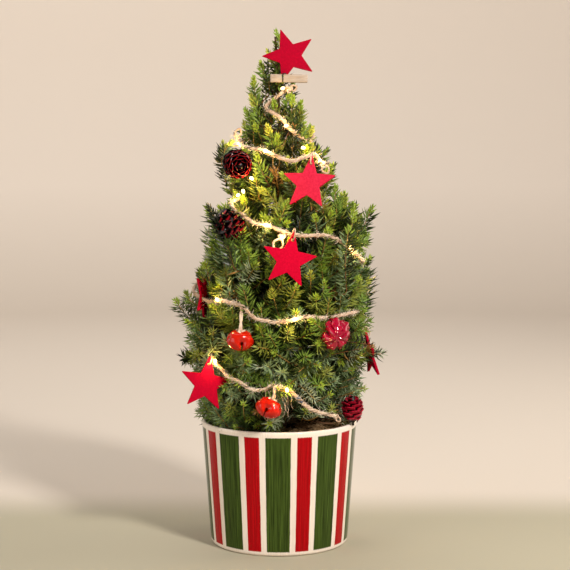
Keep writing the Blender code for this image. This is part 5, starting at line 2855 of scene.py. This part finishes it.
    def hang_wisps(self, space: CrownSpace) -> list[Pair]:
        """Let loose fibres hang down the front of the skirt."""
        tubes: list[Pair] = []
        for _ in range(self.wisps):
            x, z = self.draw.uniform(-15.0, 9.0), 164.0
            line = [self.rest(space, x, z, 1.0)]
            for _ in range(int(self.draw.integers(4, 9))):
                x += self.draw.normal(0.3, 1.7)
                z -= 4.4
                line.append(self.rest(space, x, z, 1.0))
            tubes.append(cord(fair_line(np.array(line), 0.0015), 0.00026, 4))
        return tubes

    def stopper(self, middle: Vector, up: Vector, size: float) -> np.ndarray:
        """Draw the knot under the rim of a bell's top hole, which carries the bell.

        Args:
            middle: Its middle.
            up: The bell's axis, which the knot lies across.
            size: About half its width, more than the hole's radius.

        Returns:
            Points of the line.
        """
        flat = up.to_track_quat("Y", "Z").to_matrix()
        return np.array([flat @ Vector(point) for point in self.knot(np.zeros(3), size)]) + np.array(middle)

    def knot(self, middle: np.ndarray, size: float) -> np.ndarray:
        """Draw the line of a simple overhand knot.

        Args:
            middle: Its middle.
            size: About half its width.

        Returns:
            Points of the line.
        """
        t = np.linspace(0.0, 2 * math.pi, 40)
        x = (np.sin(t) + 2 * np.sin(2 * t)) / 3
        z = (np.cos(t) - 2 * np.cos(2 * t)) / 3
        y = -np.sin(3 * t) / 2.4
        return middle + np.stack((x, y, z), axis=1) * size


@dataclass(frozen=True)
class WarmLamp:
    """Clear resin drop over a warm white diode: it glows evenly, white in the middle."""

    glow: str = "ffdf8a"
    strength: float = 7.0

    def material(self) -> bpy.types.Material:
        """Return the lit drop as a material."""
        material, tree, shader = new_material("lit_resin_drop")
        place = object_place(tree)
        haze = speckle(tree, place, 600.0)
        rough = remap(tree, haze, target=(0.1, 0.25))
        feed(
            tree,
            shader,
            {
                "Roughness": rough,
                "Base Color": linear("fff1d6"),
                "Emission Color": linear(self.glow),
                "Emission Strength": self.strength,
            },
        )
        return material


@dataclass
class FairyLights:
    """A string of warm drops on fine wire, wound with the twine.

    The lamps in front have named places across and up, in millimetres, and a share of the lamp's power.
    """

    drop_length: float = 0.0044
    drop_radius: float = 0.0016
    wire_radius: float = 0.00032
    spacing: float = 0.085
    first_lamp: float = 0.03
    wind_length: float = 0.034
    wind_radius: float = 0.0024
    lamp_size: float = 0.004
    seed: int = 5
    lamp_watts: float = 0.040
    lamp_tint: str = "ffcf74"
    front_mm: tuple[tuple[float, float, float], ...] = (
        (3.6, 484.0, 0.10),
        (7.6, 445.0, 0.7),
        (-41.1, 424.9, 0.8),
        (-14.4, 418.4, 0.7),
        (25.4, 421.7, 0.7),
        (37.6, 414.4, 0.4),
        (43.0, 407.5, 0.4),
        (-29.0, 389.3, 1.0),
        (-38.0, 375.5, 1.0),
        (-43.6, 371.5, 0.7),
        (-14.4, 339.8, 1.0),
        (3.0, 327.0, 0.7),
        (74.4, 313.6, 1.0),
        (-66.1, 260.3, 1.0),
        (16.6, 239.0, 1.0),
        (-68.5, 194.0, 1.2),
        (8.3, 162.9, 0.9),
    )
    draw: np.random.Generator = field(init=False)

    def build(self, garland: JuteGarland, space: CrownSpace) -> None:
        """String the lamps.

        Args:
            garland: The twine that the string follows.
            space: The crown.
        """
        self.draw = np.random.default_rng(self.seed)
        places = self.lamp_places(garland, space)
        publish(self.shape_drops(places), "lamp")
        publish(self.string_wire(garland), "wire")
        shares = [share for *_, share in self.front_mm] + [1.0] * len(places)
        for number, (place, _) in enumerate(places):
            data = bpy.data.lights.new(f"lamp_{number:02d}", "POINT")
            data.energy = self.lamp_watts * shares[number]
            data.color = linear(self.lamp_tint)[:3]
            data.shadow_soft_size = self.lamp_size
            lamp = bpy.data.objects.new(f"lamp_{number:02d}", data)
            lamp.location = place + outward(place) * self.lamp_size
            lamp.visible_camera = False
            bpy.context.scene.collection.objects.link(lamp)

    def lamp_places(self, garland: JuteGarland, space: CrownSpace) -> list[Pair]:
        """Choose the lamps' places: those named in front, then evenly along the twine behind.

        Args:
            garland: The twine.
            space: The crown.

        Returns:
            Middle and direction of each lamp.
        """
        line = garland.line
        found = []
        for x, z, _ in self.front_mm:
            place = garland.rest(space, x, z)
            found.append((place + (0.0, -0.0012, 0.0), unit(self.draw.normal(size=3) * (1.0, 0.3, 1.0))))
        along = run_length(line)
        at = self.first_lamp
        while at < along[-1]:
            index = int(np.searchsorted(along, at))
            place = line[min(index, len(line) - 1)]
            if place[1] > 0.02:
                found.append((place + outward(place) * 0.0015, unit(self.draw.normal(size=3))))
            at += self.spacing
        LOG.info("lights: %d lamps", len(found))
        return found

    def shape_drops(self, places: list[Pair]) -> bpy.types.Object:
        """Model one drop and set a copy at each lamp.

        Args:
            places: Middle and direction of each lamp.

        Returns:
            The joined drops.
        """
        r, h = self.drop_radius, self.drop_length
        shares = (
            (0.0, -0.5), (0.55, -0.47), (0.9, -0.3), (1.0, -0.05), (0.85, 0.22), (0.5, 0.42), (0.0, 0.5)
        )
        profile = [(out * r, up * h) for out, up in shares]
        drop = turned("lamp_drop", profile, 12)
        matrices = []
        for place, way in places:
            turn = Vector(way).to_track_quat("Z", "Y").to_matrix().to_4x4()
            matrices.append(Matrix.Translation(Vector(place)) @ turn)
        piece = copies("lamp_drops", drop, matrices, [WarmLamp().material()])
        smooth(piece, 60.0)
        return piece

    def string_wire(self, garland: JuteGarland) -> bpy.types.Object:
        """Wind the fine wire round the twine.

        Args:
            garland: The twine.

        Returns:
            The wire.
        """
        line = garland.line
        way = unit(np.gradient(line, axis=0))
        aside = unit(np.cross(way, np.array((0.0, 0.0, 1.0))))
        over = np.cross(aside, way)
        turn = np.arange(len(line)) * garland.step * 2 * math.pi / self.wind_length
        path = line + (aside * np.cos(turn)[:, None] + over * np.sin(turn)[:, None]) * self.wind_radius
        tube = cord(path, self.wire_radius, 5)
        return mesh_piece("light_wire", *tube, [SpringWire("9a8f80").material()], smooth=True)


def main() -> None:
    """Build every sub-assembly in order."""
    logging.basicConfig(level=logging.INFO, format="%(name)s: %(message)s")
    Studio().build()
    CeramicPot().build()
    PottingMix().build()
    BarkCover().build()
    crown = CrownSpace()
    crown.read()
    growth = Growth()
    growth.grow(crown)
    TwigWork().build(growth)
    NeedleSprays().build(growth, crown)
    FeltStars().build()
    Cones().build()
    JingleBells().build()
    ClothesPeg().build()
    garland = JuteGarland()
    garland.build(crown)
    FairyLights().build(garland, crown)


if __name__ == "__main__":
    main()
